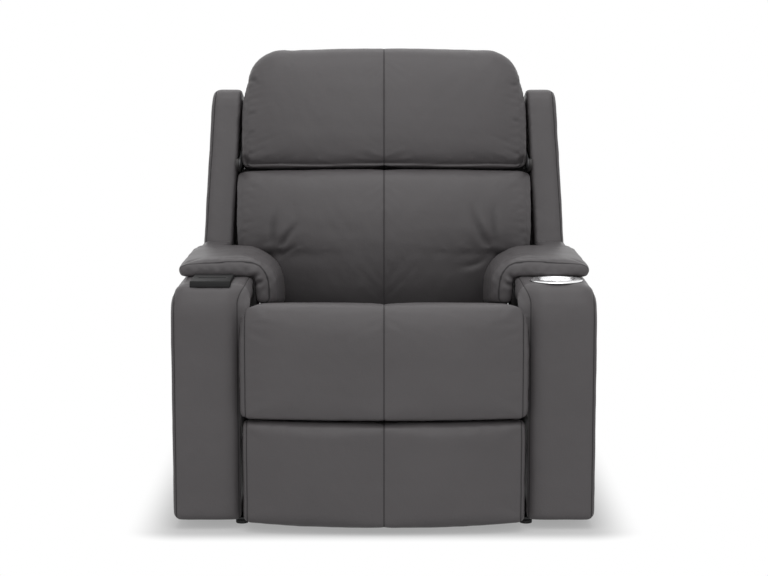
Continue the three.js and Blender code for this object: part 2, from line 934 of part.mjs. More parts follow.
function addFootrest() {
  place(recliner, "crank_shaft", crankShaft(), zincSteel);
  placePair(recliner, "middle_link", middleLink(), zincSteel);
  placePair(recliner, "upper_link", upperLink(), zincSteel);
  placePair(recliner, "footrest_bracket", footrestBracket(), zincSteel);
  const panelBoard = block(
    [board.sideInset - footrestHalf, footrestHalf - board.sideInset],
    [boardBackY - board.thickness, boardBackY],
    [board.bottomZ, board.bottomZ + board.height],
  );
  place(recliner, "footrest_board", panelBoard, plywood);
  place(recliner, "footrest_cushion", footrestCushion(), leather);
}

// Arms

// How far the front rounding has dropped at a depth behind the arm's front, as a share of the drop.
function frontDropShare(depth) {
  const ahead = 1 - Math.min(depth / arm.frontRoundDepth, 1);
  return 1 - (1 - ahead ** armRoundPower) ** (1 / armRoundPower);
}

// The section of the arm, whose inner edge swells out near the top by a share of its full reach.
function armLoop(rollShare) {
  const rollX = arm.innerX - arm.rollReach * rollShare;
  return roundedLoop([
    { at: [arm.innerX, arm.bottomZ], round: [arm.bottomRound / 2], steps: 2 },
    { at: [arm.innerX, armTopZ - arm.rollDrop - arm.rollRise] },
    { at: [rollX, armTopZ - arm.rollDrop] },
    { at: [rollX, armTopZ], round: [arm.innerTopRound], steps: 4, split: 1 },
    { at: [armOuterX, armTopZ], round: [arm.outerTopAcross, arm.outerTopDown], steps: 6, split: 1 },
    { at: [armOuterX, arm.bottomZ], round: [arm.bottomRound], steps: 3 },
  ]);
}

function armBody() {
  const hub = [(arm.innerX + armOuterX) / 2, arm.bottomZ + arm.height / 2];
  const frontInsets = {
    lowA: arm.frontRoundSide,
    highA: arm.frontRoundSide,
    lowB: arm.frontRoundBottom,
    highB: arm.frontRoundInset,
  };
  const rearInsets = { ...frontInsets, highB: arm.rearRound };
  const rings = armDepthShares.map((depthShare) => {
    const depth = depthShare * arm.frontRoundDepth;
    const share = frontDropShare(depth);
    const loop = armLoop(1 - share);
    return drawnLoop(loop, hub, share, frontInsets).map((p) => new THREE.Vector3(p.x, arm.frontY + depth, p.y));
  });
  const rearStops = endStops(arm.rearRound, 4).reverse();
  rearStops.forEach((stop) => {
    const ring = drawnLoop(armLoop(1), hub, stop.drawShare, rearInsets);
    rings.push(ring.map((p) => new THREE.Vector3(p.x, armRearY - stop.fromEnd, p.y)));
  });
  const front = new THREE.Vector3(hub[0], arm.frontY, hub[1]);
  const rear = new THREE.Vector3(hub[0], armRearY, hub[1]);
  return loft(rings, front, rear);
}

const frameY = [arm.frontY + armFrame.frontPadding, armRearY - armFrame.rearPadding];

function armFrameCore(spare) {
  return block(
    [armFrameInnerX - spare, armFrameOuterX + spare],
    [frameY[0] - spare, frameY[1] + spare],
    [arm.bottomZ - overrun, armFrameTopZ + spare],
  );
}

function cupHoleAt(spare, [z0, z1]) {
  return barZ([z0, z1], cupCentreX, cupCentreY, cup.outerRadius + spare, fineSegments);
}

function mountHoles() {
  return chassis.mountY.map((y) =>
    barX([arm.innerX - overrun, armFrameInnerX + overrun], y, chassis.mountZ, chassis.mountRadius + gap),
  );
}

function armCover(...cutters) {
  return cut(armBody(), armFrameCore(gap), ...mountHoles(), ...cutters);
}

function armFrameBox(...cutters) {
  const z = [arm.bottomZ + armFrame.bottomInset, armFrameTopZ];
  const box = block([armFrameInnerX, armFrameOuterX], frameY, z);
  const hollow = block(
    [armFrameInnerX + armFrame.board, armFrameOuterX - armFrame.board],
    [frameY[0] + armFrame.board, frameY[1] - armFrame.board],
    [arm.bottomZ - overrun, armFrameTopZ - armFrame.board],
  );
  return cut(box, hollow, ...cutters);
}

function cupHolder() {
  const inner = cup.outerRadius - cup.wall;
  const bottomZ = armTopZ - cup.depth;
  const seatZ = armTopZ + gap;
  const profile = [
    [0, bottomZ],
    [cup.outerRadius, bottomZ],
    [cup.outerRadius, seatZ],
    [cup.flangeRadius - cup.flangeThickness / 4, seatZ],
    [cup.flangeRadius, seatZ + cup.flangeThickness / 4],
    [cup.flangeRadius - cup.flangeThickness / 2, seatZ + cup.flangeThickness * 0.75],
    [cup.flangeRadius - cup.flangeThickness * 2, seatZ + cup.flangeThickness],
    [inner + cup.flangeThickness, seatZ + cup.flangeThickness],
    [inner, seatZ + cup.flangeThickness / 4],
    [inner, bottomZ + cup.wall],
    [0, bottomZ + cup.wall],
  ].map(([r, z]) => new THREE.Vector2(r, z));
  const lathe = new THREE.LatheGeometry(profile, fineSegments);
  return lathe.rotateX(Math.PI / 2).translate(cupCentreX, cupCentreY, 0);
}

const dockInnerX = arm.innerX + dock.fromArmInner;
const dockX = [-dockInnerX - dock.width, -dockInnerX];
const dockY = [arm.frontY + dock.fromArmFront, pad.frontY - softGap];
const dockTopZ = armTopZ + dock.proud;

function dockBody() {
  const body = block(dockX, dockY, [armTopZ - dock.sunk, dockTopZ]);
  const middleX = (dockX[0] + dockX[1]) / 2;
  const middleY = (dockY[0] + dockY[1]) / 2;
  const slot = block(
    [middleX - dock.slotLength / 2, middleX + dock.slotLength / 2],
    [middleY - dock.slotWidth / 2, middleY + dock.slotWidth / 2],
    [dockTopZ - dock.slotDepth, dockTopZ + overrun],
  );
  return cut(body, slot);
}

function dockPocket() {
  return block(
    [dockX[0] - gap, dockX[1] + gap],
    [dockY[0] - gap, dockY[1] + gap],
    [armTopZ - dock.sunk - gap, armTopZ + overrun],
  );
}

const panelX = [panel.recess - armOuterX, panel.recess - armOuterX + panel.thickness];
const panelY = [panel.frontY, panel.frontY + panel.length];
const panelZ = [panel.bottomZ, panel.bottomZ + panel.height];

function panelPocket() {
  return block(
    [-armOuterX - overrun, panelX[1] + gap],
    [panelY[0] - gap, panelY[1] + gap],
    [panelZ[0] - gap, panelZ[1] + gap],
  );
}

function buttonFrontY(number) {
  return panel.frontY + button.firstFromFront + number * button.pitch;
}

const buttonZ = [
  panel.bottomZ + (panel.height - button.height) / 2,
  panel.bottomZ + (panel.height + button.height) / 2,
];

function controlPanel() {
  const plate = block(panelX, panelY, panelZ);
  const depth = button.thickness + button.travel - button.proud + layerGap;
  const pockets = [];
  for (let number = 0; number < button.count; number += 1) {
    const y = buttonFrontY(number);
    pockets.push(
      block(
        [panelX[0] - overrun, panelX[0] + depth],
        [y - gap, y + button.width + gap],
        [buttonZ[0] - gap, buttonZ[1] + gap],
      ),
    );
  }
  return cut(plate, ...pockets);
}

function buttonAt(number) {
  const y = buttonFrontY(number);
  const x0 = panelX[0] - button.proud;
  return block([x0, x0 + button.thickness], [y, y + button.width], buttonZ);
}

function addArms() {
  const cupHole = cupHoleAt(gap, [armTopZ - cup.depth - gap, armTopZ + overrun]);
  place(recliner, "arm_cover_right", armCover(cupHole), leather);
  place(recliner, "arm_frame_right", armFrameBox(cupHole), plywood);
  const mirroredCover = mirrored(armCover());
  place(recliner, "arm_cover_left", cut(mirroredCover, dockPocket(), panelPocket()), leather);
  place(recliner, "arm_frame_left", mirrored(armFrameBox()), plywood);
  place(recliner, "cup_holder", cupHolder(), chrome);
  place(recliner, "arm_dock", dockBody(), blackPlastic);
  place(recliner, "control_panel", controlPanel(), blackPlastic);
  for (let number = 0; number < button.count; number += 1) {
    place(recliner, `button_${number + 1}`, buttonAt(number), buttonPlastic);
  }
}

// Arm pads

// The cap of the pad over the arm and its bolster beside the arm, as a loop in x and z.
function padLoop(innerX, bottomZ, faceHeight, crownHeight) {
  const underZ = armTopZ + gap;
  const bolsterX = armRollX - softGap;
  const cornerDrop = (underZ + crownHeight - bottomZ - pad.bolsterWidth / 4) * pad.crownDropShare;
  return roundedLoop([
    { at: [padOuterX, underZ], round: [faceHeight / 3], steps: 2 },
    { at: [bolsterX, underZ], round: [arm.innerTopRound], steps: 3 },
    { at: [bolsterX, bottomZ], round: [pad.bolsterWidth / 4], steps: 2 },
    { at: [innerX, bottomZ], round: [pad.bolsterWidth / 4], steps: 2, split: 1 },
    { at: [innerX, underZ + crownHeight], round: [cornerDrop, pad.crownReach], steps: 7, split: 1 },
    { at: [padOuterX, underZ + faceHeight], round: [crownHeight, faceHeight / 3], steps: 5 },
  ]);
}

function armPad() {
  const wingY = back.pivotY + back.wingFront * Math.cos(back.lean) + (armTopZ - back.pivotZ) * Math.tan(back.lean);
  const outerRearY = wingY - pad.rearClearance;
  const hub = [armRollX - pad.bolsterWidth / 4, armTopZ + pad.faceHeight / 2];
  const insets = {
    lowA: pad.frontInnerInset,
    highA: pad.frontRound / 8,
    lowB: gap,
    highB: pad.frontTopInset,
  };
  const ringAt = (y, drawShare, innerX) => {
    const bottomZ = seatTopAt(y) + pad.seatGap;
    const along = (y - pad.frontY) / (pad.innerRearY - pad.frontY);
    const fullCrown = THREE.MathUtils.lerp(pad.crownHeight, pad.rearCrownHeight, along * along);
    const crownHeight = THREE.MathUtils.lerp(fullCrown, pad.faceHeight, drawShare);
    const loop = padLoop(innerX, bottomZ, pad.faceHeight, crownHeight);
    return drawnLoop(loop, hub, drawShare, insets).map((p) => new THREE.Vector3(p.x, y, p.y));
  };
  const rings = endStops(pad.frontRound, 4).map((stop) =>
    ringAt(pad.frontY + stop.fromEnd, stop.drawShare, padInnerX),
  );
  rings.push(ringAt((pad.frontY + pad.innerRearY) / 2, 0, padInnerX));
  endStops(pad.rearRound, 3)
    .reverse()
    .forEach((stop) => rings.push(ringAt(pad.innerRearY - stop.fromEnd, stop.drawShare, padInnerX)));
  const front = new THREE.Vector3(hub[0], pad.frontY, hub[1]);
  const rear = new THREE.Vector3(hub[0], pad.innerRearY, hub[1]);
  const main = loft(rings, front, rear);
  const tailX = [wingInnerX, padOuterX - pad.frontRound / 2];
  const tail = block(
    tailX,
    [pad.innerRearY - pad.rearRound * 2, outerRearY],
    [armTopZ + gap, armTopZ + pad.faceHeight],
  );
  return joined(main, tail);
}

// Back

// How far the wings have leant inwards at a height of the back.
function wingShiftAt(z) {
  const low = backHeightAt(armTopZ, back.wingFront);
  return (-back.wingLeanX * (z - low)) / (back.wingTop - low);
}

function wing() {
  const bottomAt = (y) => backHeightAt(armTopZ + back.wingClearance, y);
  const loop = roundedLoop([
    { at: [back.wingFront, bottomAt(back.wingFront)], round: [back.wingRound], steps: 2, split: 2 },
    { at: [back.wingFront, back.wingTop], round: [back.wingTopRound], steps: 5, split: 1 },
    { at: [back.wingRear, back.wingTop], round: [back.wingRound], steps: 3, split: 2 },
    { at: [back.wingRear, bottomAt(back.wingRear)], round: [back.wingRound], steps: 2, split: 1 },
  ]);
  const hub = [(back.wingFront + back.wingRear) / 2, (bottomAt(0) + back.wingTop) / 2];
  const insets = {
    lowA: back.wingRound,
    highA: back.wingRound / 2,
    lowB: back.wingRound / 2,
    highB: back.wingRound,
  };
  const ringAt = (x, share) =>
    drawnLoop(loop, hub, share, insets).map((p) => new THREE.Vector3(x + wingShiftAt(p.y), p.x, p.y));
  const innerStops = [
    { fromEnd: 0, drawShare: back.wingInnerShare },
    { fromEnd: back.wingRound / 4, drawShare: 0 },
  ];
  const rings = innerStops.map((stop) => ringAt(wingInnerX + stop.fromEnd, stop.drawShare));
  const outerX = wingInnerX + back.wingWidth;
  endStops(back.wingRound, 4)
    .reverse()
    .forEach((stop) => rings.push(ringAt(outerX - stop.fromEnd, stop.drawShare)));
  const inner = new THREE.Vector3(wingInnerX + wingShiftAt(hub[1]), hub[0], hub[1]);
  const outer = new THREE.Vector3(outerX + wingShiftAt(hub[1]), hub[0], hub[1]);
  return loft(rings, inner, outer);
}

// A board between the wings: narrow between the arms, wide above them.
function tBoard([y0, y1], bottom, top, lowerHalf) {
  const step = backHeightAt(armTopZ + back.wingClearance, y1);
  const wideAt = (z) => wingInnerX + wingShiftAt(z) - gap;
  const side = [
    [lowerHalf, bottom],
    [lowerHalf, step],
    [wideAt(step), step],
    [wideAt(top), top],
  ];
  const otherSide = side.map(([x, z]) => [-x, z]).reverse();
  return plateY(polygon([...side, ...otherSide]), [y0, y1]);
}

function lumbarCushion() {
  const backFace = back.boardFront - gap;
  const stepZ = (y) => backHeightAt(armTopZ + back.wingClearance, y);
  const stepRise = seam.halfWidth;
  const loop = roundedLoop([
    { at: [backFace, lumbar.bottom], round: [lumbar.backRound], steps: 2 },
    { at: [lumbar.edge, lumbar.bottom], round: [lumbar.frontBottomRound], steps: 4, split: 1 },
    { at: [lumbar.edge, stepZ(lumbar.edge)] },
    { at: [lumbar.edge, stepZ(lumbar.edge) + stepRise], split: 2 },
    { at: [lumbar.edge, lumbar.top], round: [lumbar.frontTopRound], steps: 4 },
    { at: [backFace, lumbar.top], round: [lumbar.backRound], steps: 2, split: 1 },
    { at: [backFace, stepZ(backFace) + stepRise] },
    { at: [backFace, stepZ(backFace)] },
  ]);
  const hub = [(backFace + lumbar.edge) / 2, stepZ(lumbar.edge) + stepRise * 2];
  return cushion({
    loop,
    hub,
    endRound: lumbar.endRound,
    insets: { lowA: lumbar.endRound, highA: 0, lowB: lumbar.endRound / 3, highB: lumbar.endRound / 3 },
    innerShares: lumbarShares,
    halfWidthAt: (point) =>
      point.y > stepZ(point.x) + stepRise / 2 ? lumbarHalf : lumbarLowerHalf,
    shiftAt: (point, across) => {
      const ahead = THREE.MathUtils.clamp((backFace - point.x) / (backFace - lumbar.edge), 0, 1);
      return new THREE.Vector2(point.x - lumbar.crown * bulge(across) * ahead, point.y);
    },
  });
}

// The headrest is thick at its lower edge and thins towards its top, whose corners are well rounded.
function headrestCushion() {
  const backFace = back.boardFront - gap;
  const topFront = backFace - headrest.topThickness;
  const loop = roundedLoop([
    { at: [backFace, headrest.bottom], round: [headrest.bottomRound / 3], steps: 2 },
    { at: [headrest.edge, headrest.bottom], round: [headrest.bottomRound], steps: 4, split: 4 },
    { at: [topFront, headrest.top], round: [headrest.topRound, headrest.topThickness / 2], steps: 5 },
    { at: [backFace, headrest.top], round: [headrest.topThickness / 2, headrest.bottomRound], steps: 4 },
  ]);
  const hub = [(backFace + topFront) / 2, (headrest.bottom + headrest.top) / 2];
  const highShare = (z) => THREE.MathUtils.clamp((z - hub[1]) / (headrest.top - hub[1]), 0, 1);
  return cushion({
    loop,
    hub,
    endRound: headrest.endRound,
    endSteps: 5,
    insets: {
      lowA: headrest.endRound,
      highA: 0,
      lowB: headrest.bottomRound / 2,
      highB: headrest.endTopInset,
    },
    innerShares: headrestShares,
    halfWidthAt: (point) => headrestHalf - headrest.topTaper * highShare(point.y),
    shiftAt: (point, across) => {
      const ahead = THREE.MathUtils.clamp((backFace - point.x) / headrest.topThickness, 0, 1);
      return new THREE.Vector2(
        point.x - headrest.crown * bulge(across) * ahead,
        point.y - cornerDropAt(across, headrest) * highShare(point.y),
      );
    },
  });
}

const headPivot = [headrest.edge + headrest.pivotBack, headrest.bottom + headrest.pivotUp];
const headCheekX = [
  headrestHalf + gap + headHinge.thickness + layerGap,
  wingInnerX + wingShiftAt(headPivot[1] + headHinge.halfHeight) - gap,
];

// The arm of the back frame that reaches forward between the headrest and the wing, to carry the hinge pin.
function headCheek() {
  const rearY = back.boardFront + back.boardThickness;
  const outline = new THREE.Shape();
  outline.moveTo(rearY, headPivot[1] - headHinge.halfHeight);
  outline.lineTo(rearY, headPivot[1] + headHinge.halfHeight);
  outline.lineTo(headPivot[0], headPivot[1] + headHinge.halfHeight);
  outline.absarc(headPivot[0], headPivot[1], headHinge.halfHeight, Math.PI / 2, (3 * Math.PI) / 2);
  const through = [headCheekX[0] - overrun, headCheekX[1] + overrun];
  const hole = barX(through, headPivot[0], headPivot[1], headHinge.pinRadius + runningGap);
  return cut(plateX(outline, headCheekX), hole);
}

function headHingePlate() {
  const x0 = headrestHalf + gap;
  const boardRear = back.boardFront;
  const outline = new THREE.Shape();
  outline.moveTo(boardRear + headrest.boardThickness, headPivot[1] + headHinge.tailRise);
  outline.lineTo(boardRear, headPivot[1] + headHinge.tailRise);
  outline.lineTo(headPivot[0], headPivot[1] + headHinge.halfHeight);
  outline.absarc(headPivot[0], headPivot[1], headHinge.halfHeight, Math.PI / 2, (3 * Math.PI) / 2);
  outline.lineTo(boardRear + headrest.boardThickness, headPivot[1] + headHinge.halfHeight);
  const plate = plateX(outline, [x0, x0 + headHinge.thickness]);
  const pinX = [x0 + headHinge.thickness / 2, headCheekX[1]];
  const pin = barX(pinX, headPivot[0], headPivot[1], headHinge.pinRadius);
  const tab = block(
    [headBoardHalf + gap, x0 + headHinge.thickness / 2],
    [back.boardFront + gap, back.boardFront + headrest.boardThickness],
    [headPivot[1] + headHinge.halfHeight, headPivot[1] + headHinge.tailRise],
  );
  return joined(plate, pin, tab);
}

function backBracket() {
  const x = [plateInnerX - layerGap - bracket.thickness, plateInnerX - layerGap];
  const boardRear = back.boardFront + back.boardThickness + gap;
  const outline = new THREE.Shape();
  outline.moveTo(boardRear, bracket.top);
  outline.lineTo(boardRear, 0);
  outline.absarc(0, 0, bracket.hubRadius, Math.PI, bracket.hubEnd);
  outline.lineTo(boardRear + bracket.width, bracket.hubRadius * 2);
  outline.lineTo(boardRear + bracket.width, bracket.top);
  const pin = barX([x[1] - bracket.thickness / 2, plateOuterX], 0, 0, bracket.pinRadius);
  return joined(plateX(outline, x), pin);
}

function topCover() {
  const top = back.wingTop - back.topCoverDrop;
  const half = wingInnerX + wingShiftAt(top) - softGap;
  const front = back.boardFront + back.boardThickness + overrun;
  const rear = back.wingRear - back.panelInset - back.panelThickness - gap;
  return block([-half, half], [front, rear], [top - back.topCoverThickness, top]);
}

function addBack() {
  const boardY = [back.boardFront, back.boardFront + back.boardThickness];
  const panelY1 = back.wingRear - back.panelInset;
  const outer = tBoard([panelY1 - back.panelThickness, panelY1], back.panelBottom, back.wingTop, panelHalf);
  const frameBoard = tBoard(boardY, back.boardBottom, back.boardTop, backBoardHalf);
  place(backGroup, "back_frame", joined(frameBoard, headCheek(), mirrored(headCheek())), plywood);
  place(backGroup, "outer_back_panel", outer, leather);
  place(backGroup, "back_top_cover", topCover(), leather);
  placePair(backGroup, "back_bracket", backBracket(), blackSteel);
  placePair(backGroup, "back_wing", wing(), leather);
  place(backGroup, "lumbar_cushion", lumbarCushion(), leather);
  const headBoard = block(
    [-headBoardHalf, headBoardHalf],
    [back.boardFront, back.boardFront + headrest.boardThickness],
    [headrest.boardBottom, headrest.boardTop],
  );
  place(backGroup, "headrest_board", headBoard, plywood);
  place(backGroup, "headrest_cushion", headrestCushion(), leather);
  placePair(backGroup, "headrest_hinge", headHingePlate(), blackSteel);
}

// Drives and controls

// A guide rail with its gearbox and motor at the rear, where it hangs on the rear chassis tube.
function linearDrive(centreX) {
  const gearRear = chassis.rearTubeY - chassis.tubeRadius - gap;
  const gearFront = gearRear - drive.gearLength;
  const railZ = [drive.railZ, drive.railZ + drive.railHeight];
  const rail = block(
    [centreX - drive.railWidth / 2, centreX + drive.railWidth / 2],
    [drive.railFront, gearFront + overrun],
    railZ,
  );
  const gearMiddleZ = drive.railZ + drive.railHeight / 2;
  const gear = block(
    [centreX - drive.gearWidth / 2, centreX + drive.gearWidth / 2],
    [gearFront, gearRear],
    [gearMiddleZ - drive.gearHeight / 2, gearMiddleZ + drive.gearHeight / 2],
  );
  const motorY = (gearFront + gearRear) / 2;
  const motorTop = gearMiddleZ - drive.gearHeight / 2 + overrun;
  const motor = barZ([motorTop - drive.motorLength, motorTop], centreX, motorY, drive.motorRadius);
  return joined(rail, gear, motor);
}

// The carriage that the lead screw draws along the underside of the guide rail.
function driveNut(centreX, y) {
  const topZ = drive.railZ - gap;
  return block(
    [centreX - drive.nutWidth / 2, centreX + drive.nutWidth / 2],
    [y, y + drive.nutLength],
    [topZ - drive.nutHeight, topZ],
  );
}

function addDrives() {
  place(recliner, "footrest_motor", linearDrive(drive.footrestX), blackPlastic);
  place(recliner, "footrest_nut", driveNut(drive.footrestX, drive.footrestNutY), zincSteel);
  place(recliner, "recline_motor", linearDrive(drive.reclineX), blackPlastic);
  place(recliner, "recline_nut", driveNut(drive.reclineX, drive.reclineNutY), zincSteel);
  const boxBottom = chassis.frontTubeZ + chassis.tubeRadius + gap;
  const box = block(
    [controlBox.centreX - controlBox.width / 2, controlBox.centreX + controlBox.width / 2],
    [chassis.frontTubeY - controlBox.length / 2, chassis.frontTubeY + controlBox.length / 2],
    [boxBottom, boxBottom + controlBox.height],
  );
  place(recliner, "control_box", box, blackPlastic);
}

addBase();
addChassis();
addSeatFrame();
place(recliner, "seat_cushion", seatCushion(), leather);
addFootrest();
addArms();
placePair(recliner, "arm_pad", armPad(), leather);
addBack();
addDrives();

export default recliner;
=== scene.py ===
"""Looks of a cinema recliner seat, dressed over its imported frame, in metres."""

from __future__ import annotations

import json
import logging
import math
from collections.abc import Sequence
from dataclasses import dataclass
from enum import Enum

import bmesh
import bpy
import numpy as np
from mathutils import Matrix, Vector
from mathutils.bvhtree import BVHTree

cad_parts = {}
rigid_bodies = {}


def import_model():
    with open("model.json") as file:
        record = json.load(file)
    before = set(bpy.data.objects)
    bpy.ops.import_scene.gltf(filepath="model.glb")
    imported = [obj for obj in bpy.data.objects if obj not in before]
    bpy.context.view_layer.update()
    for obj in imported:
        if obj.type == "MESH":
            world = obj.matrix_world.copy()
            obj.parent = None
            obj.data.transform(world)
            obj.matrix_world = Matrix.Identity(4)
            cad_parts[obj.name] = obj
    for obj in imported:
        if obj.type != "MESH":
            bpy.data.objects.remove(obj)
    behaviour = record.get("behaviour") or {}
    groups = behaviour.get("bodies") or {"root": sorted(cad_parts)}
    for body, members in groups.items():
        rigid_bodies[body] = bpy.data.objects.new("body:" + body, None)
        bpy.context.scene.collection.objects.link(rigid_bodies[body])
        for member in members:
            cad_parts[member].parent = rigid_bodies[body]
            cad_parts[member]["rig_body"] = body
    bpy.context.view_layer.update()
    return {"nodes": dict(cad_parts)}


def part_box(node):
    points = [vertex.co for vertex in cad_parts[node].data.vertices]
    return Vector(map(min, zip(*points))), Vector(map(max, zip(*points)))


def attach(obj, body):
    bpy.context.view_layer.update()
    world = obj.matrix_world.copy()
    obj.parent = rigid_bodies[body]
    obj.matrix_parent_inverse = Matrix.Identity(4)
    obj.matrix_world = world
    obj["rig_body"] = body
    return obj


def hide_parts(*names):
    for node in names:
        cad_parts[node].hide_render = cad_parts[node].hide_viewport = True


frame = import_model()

LOG = logging.getLogger("recliner")
Triple = tuple[float, float, float]
WHITE = (1.0, 1.0, 1.0)

# The back leans on its recline pivot, and these turn its own frame into the shared one.
BACK_PIVOT = (0.0, 0.226, 0.275)
BACK_LEAN = math.radians(12)


def on_back(x: float, y: float, z: float) -> Triple:
    """A place in the leaning back's own frame, given in the shared frame."""
    return (
        x,
        BACK_PIVOT[1] + y * math.cos(BACK_LEAN) + z * math.sin(BACK_LEAN),
        BACK_PIVOT[2] - y * math.sin(BACK_LEAN) + z * math.cos(BACK_LEAN),
    )


class Signal:
    """A number that varies over a surface. Python's operators on it add Math nodes."""

    def __init__(self, nodes: Nodes, socket: bpy.types.NodeSocket) -> None:
        """Keeps the tree's builder and the socket that carries the number."""
        self.nodes = nodes
        self.socket = socket

    def _step(self, operation: str, first: Value, second: Value) -> Signal:
        """Adds one Math node.

        Args:
            operation: The Math node's operation.
            first: Its first value.
            second: Its second value.

        Returns:
            The node's result.
        """
        node = self.nodes.add("ShaderNodeMath", {"operation": operation}, {0: first, 1: second})
        return Signal(self.nodes, node.outputs[0])

    def __add__(self, other: Value) -> Signal:
        """This number plus another."""
        return self._step("ADD", self, other)

    def __radd__(self, other: Value) -> Signal:
        """Another number plus this one."""
        return self._step("ADD", other, self)

    def __sub__(self, other: Value) -> Signal:
        """This number less another."""
        return self._step("SUBTRACT", self, other)

    def __rsub__(self, other: Value) -> Signal:
        """Another number less this one."""
        return self._step("SUBTRACT", other, self)

    def __mul__(self, other: Value) -> Signal:
        """This number times another."""
        return self._step("MULTIPLY", self, other)

    def __rmul__(self, other: Value) -> Signal:
        """Another number times this one."""
        return self._step("MULTIPLY", other, self)

    def above(self, other: Value) -> Signal:
        """The greater of this number and another."""
        return self._step("MAXIMUM", self, other)

    def size(self) -> Signal:
        """The number without its sign."""
        return self._step("ABSOLUTE", self, 0.0)

    def within(self, low: float, high: float) -> Signal:
        """How far the number has come from low to high, from 0 to 1 and smooth at both ends.

        Args:
            low: Where the result is 0.
            high: Where the result is 1.

        Returns:
            The share.
        """
        settings = {"interpolation_type": "SMOOTHSTEP", "clamp": True}
        inputs = {"Value": self, "From Min": low, "From Max": high}
        return Signal(self.nodes, self.nodes.add("ShaderNodeMapRange", settings, inputs).outputs[0])


Value = Signal | float
Input = Signal | bpy.types.NodeSocket | float | tuple
Settings = dict[str, str | bool]
Inputs = dict[str | int, Input]


class Nodes:
    """Adds nodes to one tree."""

    def __init__(self, tree: bpy.types.NodeTree) -> None:
        """Starts with an empty tree.

        Args:
            tree: The tree, which is emptied.
        """
        self.tree = tree
        tree.nodes.clear()

    def add(self, kind: str, settings: Settings, inputs: Inputs) -> bpy.types.Node:
        """Adds one node.

        Args:
            kind: The node's type.
            settings: Its own settings.
            inputs: The value or link of each socket, by name or number.

        Returns:
            The new node.
        """
        made = self.tree.nodes.new(kind)
        for key, value in settings.items():
            setattr(made, key, value)
        for key, value in inputs.items():
            if isinstance(value, Signal):
                value = value.socket
            if isinstance(value, bpy.types.NodeSocket):
                self.tree.links.new(value, made.inputs[key])
            else:
                made.inputs[key].default_value = value
        return made

    def direct_rays(self) -> Signal:
        """1 for a ray from the camera, off metal or through glass, and 0 for any other.

        Returns:
            The kind of ray as a number.
        """
        rays = self.add("ShaderNodeLightPath", {}, {}).outputs
        seen = Signal(self, rays["Is Camera Ray"]).above(Signal(self, rays["Is Glossy Ray"]))
        return seen.above(Signal(self, rays["Is Transmission Ray"]))


class Paint(Nodes):
    """Builds the nodes of one material."""

    def __init__(self, name: str) -> None:
        """Starts an empty material.

        Args:
            name: The material's name.
        """
        self.material = bpy.data.materials.new(name)
        self.material.use_nodes = True
        super().__init__(self.material.node_tree)
        self.place = self.add("ShaderNodeTexCoord", {}, {}).outputs["Object"]

    def vector(self, operation: str, first: Input, second: Input = (0, 0, 0)) -> bpy.types.Node:
        """Adds one Vector Math node."""
        return self.add("ShaderNodeVectorMath", {"operation": operation}, {0: first, 1: second})

    def noise(self, scale: float, detail: float = 2, stretch: Triple = (1, 1, 1)) -> Signal:
        """Soft noise on the object's own coordinates.

        Args:
            scale: How many waves to the metre.
            detail: How many finer layers.
            stretch: How much finer the noise is along each axis.

        Returns:
            The noise, from 0 to 1.
        """
        place = self.add("ShaderNodeMapping", {}, {"Vector": self.place, "Scale": stretch})
        inputs = {"Vector": place.outputs[0], "Scale": scale, "Detail": detail}
        return Signal(self, self.add("ShaderNodeTexNoise", {}, inputs).outputs[0])

    def cells(self, scale: float) -> Signal:
        """Rounded cells, as the grain of leather has.

        Args:
            scale: How many cells to the metre.

        Returns:
            The distance from each cell's middle.
        """
        settings = {"feature": "SMOOTH_F1"}
        inputs = {"Vector": self.place, "Scale": scale, "Smoothness": 0.6}
        return Signal(self, self.add("ShaderNodeTexVoronoi", settings, inputs).outputs["Distance"])

    def waves(self, scale: float, axis: str, distortion: float = 0) -> Signal:
        """Even bands across one axis.

        Args:
            scale: The wave texture's scale, about 3 bands to the metre for each 1.
            axis: X, Y or Z.
            distortion: How far the bands wander.

        Returns:
            The bands, from 0 to 1.
        """
        settings = {"wave_type": "BANDS", "bands_direction": axis, "wave_profile": "SIN"}
        inputs = {"Vector": self.place, "Scale": scale, "Distortion": distortion}
        return Signal(self, self.add("ShaderNodeTexWave", settings, inputs).outputs["Fac"])

    def attribute(self, name: str) -> Signal:
        """A number kept with the mesh's own points, 0 where the mesh has none."""
        return Signal(self, self.add("ShaderNodeAttribute", {"attribute_name": name}, {}).outputs["Fac"])

    def mix(self, share: Value, first: Input, second: Input) -> bpy.types.NodeSocket:
        """Mixes two colours.

        Args:
            share: How much of the second colour.
            first: The first colour.
            second: The second colour.

        Returns:
            The mixed colour.
        """
        node = self.add("ShaderNodeMix", {"data_type": "RGBA"}, {0: share, 6: first, 7: second})
        return node.outputs[2]

    def bump(self, height: Signal, depth: float, strength: float = 1) -> bpy.types.NodeSocket:
        """Turns a height into a normal.

        Args:
            height: The height, from 0 to 1.
            depth: The height of 1 in metres.
            strength: The bump's strength.

        Returns:
            The bumped normal.
        """
        inputs = {"Height": height, "Distance": depth, "Strength": strength}
        return self.add("ShaderNodeBump", {}, inputs).outputs[0]

    def close(self, shader: bpy.types.NodeSocket) -> bpy.types.Material:
        """Links the shader to the output and gives back the material."""
        self.add("ShaderNodeOutputMaterial", {}, {"Surface": shader})
        return self.material

    def principled(self, **inputs: Input) -> bpy.types.Material:
        """Closes the material with a Principled shader.

        Args:
            **inputs: The shader's sockets by name, with _ for a space.

        Returns:
            The material.
        """
        sockets = {key.replace("_", " "): value for key, value in inputs.items()}
        node = self.add("ShaderNodeBsdfPrincipled", {}, sockets)
        return self.close(node.outputs[0])


def scaled(colour: Triple, by: float) -> tuple[float, float, float, float]:
    """The colour made lighter or darker, with full alpha."""
    return (colour[0] * by, colour[1] * by, colour[2] * by, 1.0)


